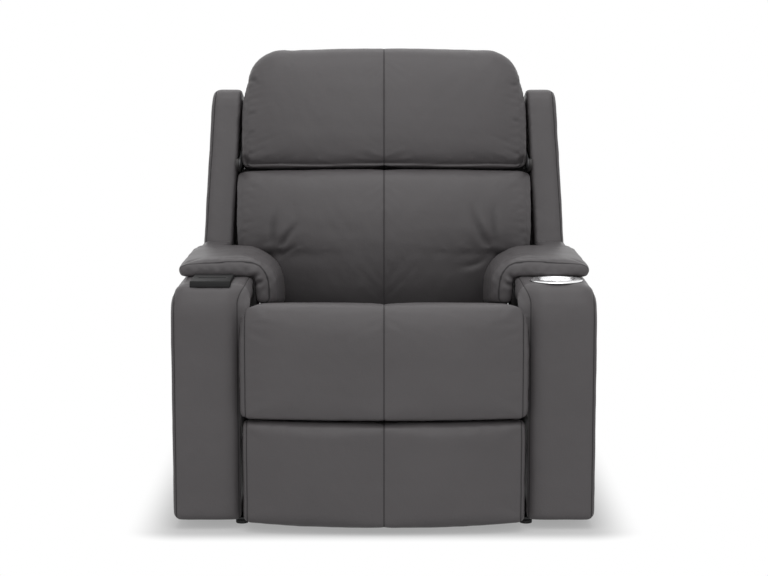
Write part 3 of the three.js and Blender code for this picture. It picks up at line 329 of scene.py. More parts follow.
def toned(paint: Paint, share: Value, colour: Triple, tones: tuple[float, float]) -> bpy.types.NodeSocket:
    """A colour that wanders between a darker and a lighter tone of itself.

    Args:
        paint: The material's nodes.
        share: How much of the lighter tone.
        colour: The colour.
        tones: The darker and the lighter tone, as factors.

    Returns:
        The toned colour.
    """
    darker, lighter = tones
    return paint.mix(share, scaled(colour, darker), scaled(colour, lighter))


@dataclass(frozen=True)
class LeatherFinish:
    """Soft pebbled leather with darker seams, and painted shade that darkens its grooves, folds and tucked
    edges.
    """

    name: str = "grey_leather"
    colour: Triple = (0.089, 0.083, 0.0855)
    roughness: float = 0.43
    cells_per_metre: float = 620
    grain_depth: float = 0.00028
    wrinkle_depth: float = 0.0011
    seam_width: float = 0.0016
    seam_tone: float = 0.42
    seam_roughness: float = 0.4
    patch_scale: float = 5.5
    wrinkle_scale: float = 46
    tones: tuple[float, float] = (0.9, 1.12)
    pore_share: float = 0.14
    pore_tone: float = 1.5
    painted_shade_share: float = 0.8
    painted_shade_tone: float = 0.25
    roughness_spread: float = 0.12
    bump_strength: float = 0.55
    gloss: float = 0.3

    def _line(self, paint: Paint, name: str) -> Signal:
        """A thin line where the distance from a seam, kept with the points, is nearly nothing."""
        return 1 - paint.attribute(name).size().within(self.seam_width * 0.5, self.seam_width)

    def material(self) -> bpy.types.Material:
        """Makes the material.

        Returns:
            The finished material.
        """
        paint = Paint(self.name)
        patches = paint.noise(self.patch_scale, 3)
        wrinkles = paint.noise(self.wrinkle_scale, 3)
        grain = paint.cells(self.cells_per_metre)
        seam = self._line(paint, "seam_a").above(self._line(paint, "seam_b"))
        painted_shade = paint.attribute("painted_shade")
        lit = toned(paint, patches, self.colour, self.tones)
        grained = paint.mix((1 - grain) * self.pore_share, lit, scaled(self.colour, self.pore_tone))
        # Painted shade: the colour is darkened by a number kept with the points in seam grooves, folds and
        # tucked edges.
        shaded = paint.mix(painted_shade * self.painted_shade_share, grained, scaled(self.colour, self.painted_shade_tone))
        colour = paint.mix(seam, shaded, scaled(self.colour, self.seam_tone))
        height = (1 - grain) * (self.grain_depth / self.wrinkle_depth) + wrinkles
        return paint.principled(
            Base_Color=colour,
            Roughness=self.roughness + (patches - 0.5) * self.roughness_spread + seam * self.seam_roughness,
            Normal=paint.bump(height, self.wrinkle_depth, self.bump_strength),
            Specular_IOR_Level=self.gloss,
        )


@dataclass(frozen=True)
class PlasticFinish:
    """Moulded plastic or rubber with a fine sparked texture."""

    name: str
    colour: Triple
    roughness: float
    texture_depth: float = 0.0001
    gloss: float = 0.5
    texture_scale: float = 900
    patch_scale: float = 14
    tones: tuple[float, float] = (0.82, 1.18)
    roughness_spread: float = 0.1
    bump_strength: float = 0.6

    def material(self) -> bpy.types.Material:
        """Makes the material.

        Returns:
            The finished material.
        """
        paint = Paint(self.name)
        fine = paint.noise(self.texture_scale, 2)
        broad = paint.noise(self.patch_scale, 2)
        return paint.principled(
            Base_Color=toned(paint, broad, self.colour, self.tones),
            Roughness=self.roughness + (broad - 0.5) * self.roughness_spread,
            Normal=paint.bump(fine, self.texture_depth, self.bump_strength),
            Specular_IOR_Level=self.gloss,
        )


@dataclass(frozen=True)
class MetalFinish:
    """Bare or plated metal with drawn marks."""

    name: str
    colour: Triple
    roughness: float
    mark_depth: float = 0.00003
    mark_scale: float = 420
    mark_roughness: float = 0.08
    patch_scale: float = 22
    tones: tuple[float, float] = (0.9, 1.08)
    roughness_spread: float = 0.06
    bump_strength: float = 0.5

    def material(self) -> bpy.types.Material:
        """Makes the material.

        Returns:
            The finished material.
        """
        paint = Paint(self.name)
        marks = paint.noise(self.mark_scale, 3)
        broad = paint.noise(self.patch_scale, 3)
        uneven = (broad - 0.5) * self.roughness_spread
        return paint.principled(
            Base_Color=toned(paint, broad, self.colour, self.tones),
            Metallic=1.0,
            Roughness=self.roughness + marks * self.mark_roughness + uneven,
            Normal=paint.bump(marks, self.mark_depth, self.bump_strength),
        )


@dataclass(frozen=True)
class PaintedSteelFinish:
    """Powder-coated steel with an orange-peel surface."""

    name: str
    colour: Triple
    roughness: float = 0.42
    peel_scale: float = 260
    peel_depth: float = 0.00012
    patch_scale: float = 9
    tones: tuple[float, float] = (0.8, 1.25)
    roughness_spread: float = 0.14
    bump_strength: float = 0.6

    def material(self) -> bpy.types.Material:
        """Makes the material.

        Returns:
            The finished material.
        """
        paint = Paint(self.name)
        peel = paint.noise(self.peel_scale, 2)
        broad = paint.noise(self.patch_scale, 3)
        return paint.principled(
            Base_Color=toned(paint, broad, self.colour, self.tones),
            Roughness=self.roughness + (broad - 0.5) * self.roughness_spread,
            Normal=paint.bump(peel, self.peel_depth, self.bump_strength),
        )


@dataclass(frozen=True)
class PlywoodFinish:
    """Birch plywood with long grain and thin darker plies."""

    name: str = "birch_plywood"
    colour: Triple = (0.4, 0.28, 0.16)
    roughness: float = 0.55
    roughness_spread: float = 0.15
    grain_scale: float = 26
    grain_stretch: Triple = (0.35, 3, 3)
    grain_depth: float = 0.0003
    fleck_scale: float = 180
    fleck_stretch: Triple = (0.2, 1, 1)
    tones: tuple[float, float] = (0.72, 1.2)
    ply_scale: float = 105
    ply_wander: float = 0.3
    ply_band: tuple[float, float] = (0.75, 1)
    ply_share: float = 0.28
    ply_tone: float = 0.5
    bump_strength: float = 0.4

    def material(self) -> bpy.types.Material:
        """Makes the material.

        Returns:
            The finished material.
        """
        paint = Paint(self.name)
        grain = paint.noise(self.grain_scale, 4, self.grain_stretch)
        flecks = paint.noise(self.fleck_scale, 2, self.fleck_stretch)
        plies = paint.waves(self.ply_scale, "Y", self.ply_wander)
        wood = toned(paint, grain, self.colour, self.tones)
        lines = plies.within(*self.ply_band) * self.ply_share
        return paint.principled(
            Base_Color=paint.mix(lines, wood, scaled(self.colour, self.ply_tone)),
            Roughness=self.roughness + grain * self.roughness_spread,
            Normal=paint.bump(flecks + grain, self.grain_depth, self.bump_strength),
        )


@dataclass(frozen=True)
class WebbingFinish:
    """Black woven webbing."""

    name: str = "black_webbing"
    colour: Triple = (0.03, 0.03, 0.032)
    roughness: float = 0.75
    roughness_spread: float = 0.1
    band_scale: float = 110
    tones: tuple[float, float] = (0.6, 2.2)
    weave_depth: float = 0.0005
    bump_strength: float = 0.8

    def material(self) -> bpy.types.Material:
        """Makes the material.

        Returns:
            The finished material.
        """
        paint = Paint(self.name)
        weave = paint.waves(self.band_scale, "X") * paint.waves(self.band_scale, "Y")
        return paint.principled(
            Base_Color=toned(paint, weave, self.colour, self.tones),
            Roughness=self.roughness + weave * self.roughness_spread,
            Normal=paint.bump(weave, self.weave_depth, self.bump_strength),
        )


@dataclass(frozen=True)
class FloorFinish:
    """A pale floor that keeps the object's soft shadow and ends in plain white."""

    name: str = "pale_floor"
    glow: float = 0.34
    half: Triple = (0.44, 0.43, 0.0)
    stretch: Triple = (0.7, 1.0, 0.0)
    shadow_reach: float = 0.01
    fade: float = 0.085
    darkest: float = 0.48
    palest: float = 0.51

    def material(self) -> bpy.types.Material:
        """Makes the material.

        Returns:
            The finished material.
        """
        paint = Paint(self.name)
        ranged = paint.vector("ABSOLUTE", paint.place)
        past = paint.vector("SUBTRACT", ranged.outputs[0], self.half)
        outside = paint.vector("MAXIMUM", past.outputs[0])
        level = paint.vector("MULTIPLY", outside.outputs[0], self.stretch)
        length = paint.vector("LENGTH", level.outputs[0])
        far = Signal(paint, length.outputs["Value"]).within(self.shadow_reach, self.shadow_reach + self.fade)
        dusty = paint.mix(paint.noise(3, 2), scaled(WHITE, self.darkest), scaled(WHITE, self.palest))
        matt = paint.add("ShaderNodeBsdfDiffuse", {}, {"Color": dusty})
        white = paint.add("ShaderNodeEmission", {}, {"Color": scaled(WHITE, 1), "Strength": 1.0})
        share = paint.direct_rays() * (far * (1 - self.glow) + self.glow)
        both = {0: share, 1: matt.outputs[0], 2: white.outputs[0]}
        return paint.close(paint.add("ShaderNodeMixShader", {}, both).outputs[0])


class Slot(Enum):
    """The record's material slots."""

    LEATHER = "leather"
    PLYWOOD = "plywood"
    BLACK_STEEL = "black_steel"
    ZINC_STEEL = "zinc_steel"
    CHROME = "chrome"
    BLACK_PLASTIC = "black_plastic"
    BUTTON_PLASTIC = "button_plastic"
    RUBBER = "rubber"
    WEBBING = "webbing"


class Palette:
    """All the finishes, made once."""

    def __init__(self) -> None:
        """Makes each slot's material, and the thread's."""
        finishes = {
            Slot.LEATHER: LeatherFinish(),
            Slot.PLYWOOD: PlywoodFinish(),
            Slot.BLACK_STEEL: PaintedSteelFinish("black_steel_coat", (0.018, 0.018, 0.019)),
            Slot.ZINC_STEEL: MetalFinish("dark_zinc_plate", (0.2, 0.2, 0.195), 0.36),
            Slot.CHROME: MetalFinish("polished_chrome", (0.93, 0.93, 0.94), 0.2),
            Slot.BLACK_PLASTIC: PlasticFinish("black_moulding", (0.009, 0.009, 0.0092), 0.55, gloss=0.25),
            Slot.BUTTON_PLASTIC: PlasticFinish("button_moulding", (0.16, 0.16, 0.17), 0.3),
            Slot.RUBBER: PlasticFinish("black_rubber", (0.015, 0.015, 0.015), 0.7, 0.0002),
            Slot.WEBBING: WebbingFinish(),
        }
        self.by_slot = {slot: finish.material() for slot, finish in finishes.items()}
        self.thread = PlasticFinish("dark_thread", (0.045, 0.043, 0.045), 0.6, 0.0002, 0.2).material()
        # Near-black plywood for the boards that show in the gaps, as painted shade there.
        self.stained = PlywoodFinish("plywood_darkened_for_shade", (0.022, 0.02, 0.02)).material()

    def of(self, slot: Slot) -> bpy.types.Material:
        """The material of a slot."""
        return self.by_slot[slot]


class Points:
    """A mesh's points, edges and normals as arrays."""

    # A step in and a slightly longer step out, which smooth without shrinking
    STEPS = (0.5, -0.52)

    def __init__(self, mesh: bpy.types.Mesh) -> None:
        """Reads the mesh.

        Args:
            mesh: The mesh that the points belong to.
        """
        self.mesh = mesh
        self.at = np.empty(len(mesh.vertices) * 3)
        mesh.vertices.foreach_get("co", self.at)
        self.at = self.at.reshape(-1, 3)
        edges = np.empty(len(mesh.edges) * 2, np.int32)
        mesh.edges.foreach_get("vertices", edges)
        self.edges = edges.reshape(-1, 2)

    def normals(self) -> np.ndarray:
        """The points' outward directions, after the points are written back.

        Returns:
            One direction for each point.
        """
        self.write()
        found = np.empty(len(self.at) * 3)
        self.mesh.vertices.foreach_get("normal", found)
        return found.reshape(-1, 3)

    def write(self) -> None:
        """Writes the points back to the mesh."""
        self.mesh.vertices.foreach_set("co", self.at.ravel())
        self.mesh.update()

    def neighbour_mean(self, values: np.ndarray) -> np.ndarray:
        """The mean of each point's neighbours.

        Args:
            values: One row for each point.

        Returns:
            The means, in the same rows.
        """
        first, second = self.edges[:, 0], self.edges[:, 1]
        count = len(values)
        degree = np.bincount(first, minlength=count) + np.bincount(second, minlength=count)
        columns = [
            np.bincount(first, values[second, k], count) + np.bincount(second, values[first, k], count)
            for k in range(values.shape[1])
        ]
        return np.stack(columns, 1) / np.maximum(degree, 1)[:, None]

    def relax(self, passes: int, hold: np.ndarray | None = None) -> None:
        """Smooths the points without shrinking the shape.

        Args:
            passes: How many times.
            hold: How firmly each point stays, from 0 to 1.
        """
        free = 1.0 if hold is None else (1 - hold)[:, None]
        for _ in range(passes):
            for factor in self.STEPS:
                self.at += (self.neighbour_mean(self.at) - self.at) * factor * free
        self.write()

    def keep(self, name: str, values: np.ndarray) -> None:
        """Keeps a number for each point under a name that materials read."""
        layer = self.mesh.attributes.get(name) or self.mesh.attributes.new(name, "FLOAT", "POINT")
        layer.data.foreach_set("value", values.astype(np.float32))


def unit(direction: Sequence[float]) -> np.ndarray:
    """A direction with a length of 1."""
    return np.array(Vector(direction).normalized())


def along_axis(axis: int, amount: np.ndarray) -> np.ndarray:
    """A movement for each point, along one axis only.

    Args:
        axis: 0, 1 or 2 for x, y or z.
        amount: How far each point moves.

    Returns:
        One movement for each point.
    """
    moved = np.zeros((len(amount), 3))
    moved[:, axis] = amount
    return moved


def as_mesh(name: str, shape: bmesh.types.BMesh) -> bpy.types.Mesh:
    """Turns a shape into a mesh and frees the shape.

    Args:
        name: The mesh's name.
        shape: The shape.

    Returns:
        The mesh.
    """
    mesh = bpy.data.meshes.new(name)
    shape.to_mesh(mesh)
    shape.free()
    return mesh


def linked(name: str, mesh: bpy.types.Mesh) -> bpy.types.Object:
    """Puts a mesh in the scene as an object at the origin.

    Args:
        name: The object's name.
        mesh: Its mesh.

    Returns:
        The object.
    """
    piece = bpy.data.objects.new(name, mesh)
    bpy.context.scene.collection.objects.link(piece)
    return piece


def applied(piece: bpy.types.Object) -> bpy.types.Mesh:
    """Turns a piece's modifiers into a plain mesh and takes the piece away.

    Args:
        piece: The piece with its modifiers.

    Returns:
        The finished mesh.
    """
    bpy.context.view_layer.update()
    graph = bpy.context.evaluated_depsgraph_get()
    mesh = bpy.data.meshes.new_from_object(piece.evaluated_get(graph))
    bpy.data.objects.remove(piece)
    return mesh


def merged_copy(node: str) -> bmesh.types.BMesh:
    """A node's own shape with its loose triangles joined.

    Args:
        node: The node's name.

    Returns:
        The joined copy.
    """
    shape = bmesh.new()
    shape.from_mesh(frame["nodes"][node].data)
    bmesh.ops.remove_doubles(shape, verts=shape.verts, dist=1e-5)
    return shape


def without_core(shape: bmesh.types.BMesh) -> None:
    """Takes a shell's inner faces away and closes what is left.

    Args:
        shape: The shell, changed in place.
    """
    tree = BVHTree.FromBMesh(shape)
    inner = []
    for face in shape.faces:
        start = face.calc_center_median() + face.normal * 1e-4
        if tree.ray_cast(start, face.normal)[0] is not None:
            inner.append(face)
    bmesh.ops.delete(shape, geom=inner, context="FACES")
    rims = [edge for edge in shape.edges if edge.is_boundary]
    bmesh.ops.holes_fill(shape, edges=rims, sides=0)
    bmesh.ops.triangulate(shape, faces=shape.faces)
    bmesh.ops.recalc_face_normals(shape, faces=shape.faces)


def evenly_meshed(shape: bmesh.types.BMesh, voxel: float) -> bpy.types.Mesh:
    """Covers a closed shape with even quads.

    Args:
        shape: The closed shape, freed afterwards.
        voxel: The quads' size.

    Returns:
        The even mesh.
    """
    piece = linked("even", as_mesh("even", shape))
    even = piece.modifiers.new("even", "REMESH")
    even.mode = "VOXEL"
    even.voxel_size = voxel
    return applied(piece)


@dataclass(frozen=True)
class Seam:
    """A sewn line, where a plane or a pair of mirrored planes cuts a padded piece."""

    point: Triple
    normal: Triple
    depth: float = 0.0009
    width: float = 0.0045
    gather: float = 0.0
    wave: float = 0.021
    towards: Triple | None = None
    least: float = 0.0
    mirrored: bool = False
    drawn: bool = True
    # The strength of the painted shade that darkens the seam's groove.
    tone: float = 0.3
    bend: Triple = (0.0, 0.0, 1.0)
    turn: float = 0.15

    def offset(self, at: np.ndarray) -> np.ndarray:
        """How far each point lies from the seam, with its side as the sign.

        Args:
            at: The points.

        Returns:
            One distance for each point.
        """
        place = at.copy()
        if self.mirrored:
            place[:, 0] = np.abs(place[:, 0])
        far = (place - np.array(self.point)) @ unit(self.normal)
        shift, low, high = self.bend
        share = np.clip((at[:, 2] - low) / (high - low), 0, 1)
        return far + shift * share * share

    def planes(self) -> list[tuple[Vector, Vector]]:
        """A point and a normal of each plane that the seam's row of edges lies in.

        Returns:
            The planes, none where the seam bends.
        """
        if self.bend[0]:
            return []
        point, normal = Vector(self.point), Vector(self.normal).normalized()
        if not self.mirrored:
            return [(point, normal)]
        turned = Vector((-1, 1, 1))
        return [(point, normal), (point * turned, normal * turned)]

    def share(self, normals: np.ndarray) -> np.ndarray:
        """How much of the seam runs over each point, by the side that the point faces.

        Args:
            normals: The points' outward directions.

        Returns:
            One share for each point, from 0 to 1.
        """
        if self.towards is None:
            return np.ones(len(normals))
        facing = normals @ unit(self.towards)
        return np.clip((facing - self.least) / self.turn, 0, 1)

    def ripples(self, at: np.ndarray) -> np.ndarray:
        """Short waves along the seam, from -1 to 1.

        Args:
            at: The points.

        Returns:
            One number for each point.
        """
        normal = Vector(self.normal).normalized()
        side = normal.orthogonal()
        first = at @ np.array(side)
        second = at @ np.array(normal.cross(side))
        turn = 2 * math.pi / self.wave
        rows = (
            np.sin(first * turn + 1.3),
            np.sin(second * turn + 0.4),
            0.6 * np.sin(first * turn * 0.57 + 2.1),
            0.6 * np.sin(second * turn * 0.61 + 0.9),
            0.4 * np.sin((first + second) * turn * 1.63),
        )
        return sum(rows) / 2.6


@dataclass(frozen=True)
class Fold:
    """A soft crease between two places on the side that faces a direction."""

    start: Triple
    end: Triple
    depth: float
    width: float
    towards: Triple = (0, -1, 0)
    overrun: float = 0.12
    taper: float = 0.5
    bow: float = 0.06
    ridge_place: float = 1.9
    ridge_width: float = 1.3
    ridges: tuple[float, float] = (0.5, 0.35)
    least: float = 0.1
    turn: float = 0.4
    fading: float = 1.3

    def press(self, at: np.ndarray, normals: np.ndarray) -> np.ndarray:
        """How far each point moves out of the surface.

        Args:
            at: The points.
            normals: Their outward directions.

        Returns:
            The movement, negative inwards.
        """
        look = unit(self.towards)
        flat = at - np.outer(at @ look, look)
        start = np.array(self.start) - look * (np.array(self.start) @ look)
        end = np.array(self.end) - look * (np.array(self.end) @ look)
        run = end - start
        length = float(np.linalg.norm(run))
        along = (flat - start) @ run / length**2
        side = np.cross(look, run / length)
        across = (flat - start) @ side
        ends = np.minimum(along + self.overrun, 1 + self.overrun - along)
        taper = np.clip(ends / self.taper, 0, 1) ** self.fading
        bend = across - self.bow * length * np.sin(np.clip(along, 0, 1) * math.pi)
        pressed = -np.exp(-((bend / self.width) ** 2))
        for sign, rise in zip((1, -1), self.ridges):
            far = bend - sign * self.ridge_place * self.width
            pressed += rise * np.exp(-((far / (self.ridge_width * self.width)) ** 2))
        shown = np.clip((normals @ look - self.least) / self.turn, 0, 1)
        return self.depth * taper * pressed * shown


@dataclass(frozen=True)
class Tuck:
    """A face that rolls away towards one of its edges."""

    edge: Triple
    inward: Triple
    reach: float
    depth: float
    towards: Triple = (0, -1, 0)
    # The strength of the painted shade that darkens the face towards its edge.
    tone: float = 0.0
    turn: float = 0.4

    def _share(self, at: np.ndarray) -> np.ndarray:
        """How near each point lies to the edge, from 0 to 1."""
        into = (at - np.array(self.edge)) @ unit(self.inward)
        return np.clip(1 - into / self.reach, 0, 1)

    def shade(self, at: np.ndarray) -> np.ndarray:
        """How much painted shade darkens the leather towards the edge."""
        return self.tone * self._share(at) ** 3

    def move(self, at: np.ndarray, normals: np.ndarray) -> np.ndarray:
        """How each point moves.

        Args:
            at: The points.
            normals: Their outward directions.

        Returns:
            One movement for each point.
        """
        look = unit(self.towards)
        shown = np.clip(normals @ look + self.turn, 0, 1)
        return -self.depth * (self._share(at) ** 2 * shown)[:, None] * look


@dataclass(frozen=True)
class Lift:
    """A soft rise of the upper face beside both ends of a cushion."""

    middle: float
    reach: float
    height: float
    behind: float
    fade: float = 0.1
    steepness: float = 1.6

    def move(self, at: np.ndarray, normals: np.ndarray) -> np.ndarray:
        """How each point moves.

        Args:
            at: The points.
            normals: Their outward directions.

        Returns:
            One movement for each point.
        """
        far = (np.abs(at[:, 0]) - self.middle) / self.reach
        share = np.exp(-far * far) * np.clip((self.behind - at[:, 1]) / self.fade, 0, 1)
        return along_axis(2, self.height * share * np.clip(normals[:, 2] * self.steepness, 0, 1))


@dataclass(frozen=True)
class Side:
    """A cushion's two ends, fuller than the solid's."""

    place: float
    reach: float
    width: float
    low: float
    high: float
    fade: float = 0.05

    def move(self, at: np.ndarray, normals: np.ndarray) -> np.ndarray:
        """How each point moves.

        Args:
            at: The points.
            normals: Their outward directions; not used.

        Returns:
            One movement for each point.
        """
        near = np.clip((np.abs(at[:, 0]) - self.place) / self.reach, 0, 1)
        above = np.clip((at[:, 2] - self.low) / self.fade, 0, 1)
        below = np.clip((self.high - at[:, 2]) / self.fade, 0, 1)
        return along_axis(0, np.sign(at[:, 0]) * self.width * near * (above * below))


@dataclass(frozen=True)
class ArmRoll:
    """An arm's upper inner edge in front of its pad, rounder and fuller than its solid."""

    middle: tuple[float, float] = (0.322, 0.515)
    radius: float = 0.03
    heights: tuple[float, ...] = (0.44, 0.465, 0.476, 0.486, 0.494, 0.5, 0.508, 0.515)
    places: tuple[float, ...] = (0.316, 0.3155, 0.312, 0.307, 0.3015, 0.296, 0.293, 0.292)
    back_end: float = -0.285
    front_end: float = -0.42
    front_round: float = 0.04
    fade: float = 0.02
    front_turn: float = 0.9
    turn_fade: float = 0.35

    def move(self, at: np.ndarray, normals: np.ndarray) -> np.ndarray:
        """How each point moves.

        Args:
            at: The points.
            normals: Their outward directions.

        Returns:
            One movement for each point.
        """
        wide = np.abs(at[:, 0])
        into = np.clip(self.front_end + self.front_round - at[:, 1], 0, self.front_round)
        high = at[:, 2] + self.front_round - np.sqrt(self.front_round**2 - into**2)
        out, up = wide - self.middle[0], high - self.middle[1]
        by = self.radius / np.maximum(np.hypot(out, up), 1e-6)
        corner = (out < 0) & (up > 0)
        side = (out < 0) & (up <= 0) & (high > self.heights[0])
        new_wide = np.where(corner, self.middle[0] + out * by, wide)
        new_wide = np.where(side, np.interp(high, self.heights, self.places), new_wide)
        new_high = np.where(corner, self.middle[1] + up * by, high)
        ahead = np.clip((self.back_end - at[:, 1]) / self.fade, 0, 1)
        share = ahead * np.clip((self.front_turn + normals[:, 1]) / self.turn_fade, 0, 1)
        inwards = np.sign(at[:, 0]) * (new_wide - wide) * share
        return along_axis(0, inwards) + along_axis(2, (new_high - high) * share)


@dataclass(frozen=True)
class EdgeRound:
    """An upright front edge that rolls back over a long way."""

    edge: float
    reach: float
    depth: float
    turn: float = 0.3

    def move(self, at: np.ndarray, normals: np.ndarray) -> np.ndarray:
        """How each point moves.

        Args:
            at: The points.
            normals: Their outward directions.

        Returns:
            One movement for each point.
        """
        share = np.clip(1 - (np.abs(at[:, 0]) - self.edge) / self.reach, 0, 1) ** 2
        return along_axis(1, self.depth * share * np.clip(-normals[:, 1] + self.turn, 0, 1))


class SewingTree:
    """A Geometry Nodes tree that lays a stitch at every step along a piece's edges."""

    def __init__(self) -> None:
        """Builds the tree with its named inputs."""
        self.tree = bpy.data.node_groups.new("sewing", "GeometryNodeTree")
        sockets = self.tree.interface
        sockets.new_socket("Path", in_out="INPUT", socket_type="NodeSocketGeometry")
        for name in ("Step", "Length", "Thickness"):
            sockets.new_socket(name, in_out="INPUT", socket_type="NodeSocketFloat")
        sockets.new_socket("Finish", in_out="INPUT", socket_type="NodeSocketMaterial")
        sockets.new_socket("Stitches", in_out="OUTPUT", socket_type="NodeSocketGeometry")
        given = self._node("NodeGroupInput")
        curve = self._node("GeometryNodeMeshToCurve")
        points = self._node("GeometryNodeCurveToPoints", mode="LENGTH")
        stitch = self._node("GeometryNodeMeshCylinder")
        placed = self._node("GeometryNodeInstanceOnPoints")
        plain = self._node("GeometryNodeRealizeInstances")
        dressed = self._node("GeometryNodeSetMaterial")
        done = self._node("NodeGroupOutput")
        stitch.inputs["Vertices"].default_value = 6
        self._link(given, "Path", curve, "Mesh")
        self._link(curve, "Curve", points, "Curve")
        self._link(given, "Step", points, "Length")
        self._link(given, "Thickness", stitch, "Radius")
        self._link(given, "Length", stitch, "Depth")
        self._link(points, "Points", placed, "Points")
        self._link(points, "Rotation", placed, "Rotation")
        self._link(stitch, "Mesh", placed, "Instance")
        self._link(placed, "Instances", plain, "Geometry")
        self._link(plain, "Geometry", dressed, "Geometry")
        self._link(given, "Finish", dressed, "Material")
        self._link(dressed, "Geometry", done, "Stitches")

    def _node(self, kind: str, **settings: str) -> bpy.types.Node:
        """Adds one node with its settings.

        Args:
            kind: The node's type.
            **settings: Its own settings.

        Returns:
            The new node.
        """
        made = self.tree.nodes.new(kind)
        for key, value in settings.items():
            setattr(made, key, value)
        return made

    def _link(self, source: bpy.types.Node, out: str, target: bpy.types.Node, into: str) -> None:
        """Links an output to an input, both by name."""
        self.tree.links.new(source.outputs[out], target.inputs[into])

    def lay(self, path: bpy.types.Object, values: dict[str, float | bpy.types.Material]) -> bpy.types.Mesh:
        """Turns a path into stitches.

        Args:
            path: The piece whose edges the stitches follow, taken away afterwards.
            values: The value of each named input.

        Returns:
            The stitches as one plain mesh.
        """
        sewing = path.modifiers.new("sewing", "NODES")
        sewing.node_group = self.tree
        for socket in self.tree.interface.items_tree:
            if socket.item_type == "SOCKET" and socket.in_out == "INPUT" and socket.name in values:
                sewing[socket.identifier] = values[socket.name]
        return applied(path)


@dataclass
class Threads:
    """The sewing thread along all seams, one mesh for each body."""

    step: float = 0.0062
    length: float = 0.0046
    thickness: float = 0.0004
    least_facing: float = 0.25

    def __post_init__(self) -> None:
        """Starts with no path on any body."""
        self.paths: dict[str, bmesh.types.BMesh] = {}

    def follow(self, piece: bpy.types.Object, body: str, seam: Seam) -> None:
        """Adds a seam's path over the visible side of a finished piece.

        Args:
            piece: The finished piece.
            body: The body that it rides on.
            seam: The seam.
        """
        path = self.paths.setdefault(body, bmesh.new())
        look = Vector(seam.towards or (0, -1, 0.5)).normalized()
        for point, normal in seam.planes():
            shape = bmesh.new()
            shape.from_mesh(piece.data)
            everything = shape.verts[:] + shape.edges[:] + shape.faces[:]
            cut = bmesh.ops.bisect_plane(shape, geom=everything, dist=1e-6, plane_co=point, plane_no=normal)
            for edge in cut["geom_cut"]:
                if not isinstance(edge, bmesh.types.BMEdge):
                    continue
                facing = (edge.verts[0].normal + edge.verts[1].normal).normalized().dot(look)
                if facing > self.least_facing:
                    path.edges.new([path.verts.new(vertex.co) for vertex in edge.verts])
            shape.free()

    def build(self, palette: Palette) -> None:
        """Lays the stitches of every body.

        Args:
            palette: The finishes.
        """
        sewing = SewingTree()
        for body, path in sorted(self.paths.items()):
            bmesh.ops.remove_doubles(path, verts=path.verts, dist=1e-6)
            mesh = as_mesh(f"{body}_path", path)
            if not mesh.edges:
                continue
            values = {
                "Step": self.step,
                "Length": self.length,
                "Thickness": self.thickness,
                "Finish": palette.thread,
            }
            piece = linked(f"{body}_stitches", sewing.lay(linked("path", mesh), values))
            dress(piece, palette.thread, body, Slot.LEATHER)


@dataclass(frozen=True)
class Pocket:
    """A recess in the leather, around a fitting that is let into it."""

    node: str
    outward: Triple
    radius: float = 0.0
    spare: float = 0.0006
    overrun: float = 0.03

    def cut(self, piece: bpy.types.Object) -> bpy.types.Mesh:
        """Cuts the recess out of a piece.

        Args:
            piece: The piece, which is taken away.

        Returns:
            The piece's mesh with the recess in it.
        """
        low, high = (np.array(corner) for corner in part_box(self.node))
        low += self.overrun * np.minimum(self.outward, 0) - self.spare
        high += self.overrun * np.maximum(self.outward, 0) + self.spare
        size = high - low
        shape = bmesh.new()
        if self.radius:
            size[:2] = self.radius
            bmesh.ops.create_cone(shape, cap_ends=True, segments=96, radius1=1, radius2=1, depth=1)
        else:
            bmesh.ops.create_cube(shape, size=1)
        place = Matrix.Translation((low + high) / 2) @ Matrix.Diagonal((*size, 1))
        bmesh.ops.transform(shape, matrix=place, verts=shape.verts)
        recess = linked("recess", as_mesh("recess", shape))
        taken = piece.modifiers.new("taken", "BOOLEAN")
        taken.operation = "DIFFERENCE"
        taken.solver = "EXACT"
        taken.object = recess
        mesh = applied(piece)
        bpy.data.objects.remove(recess)
        return mesh


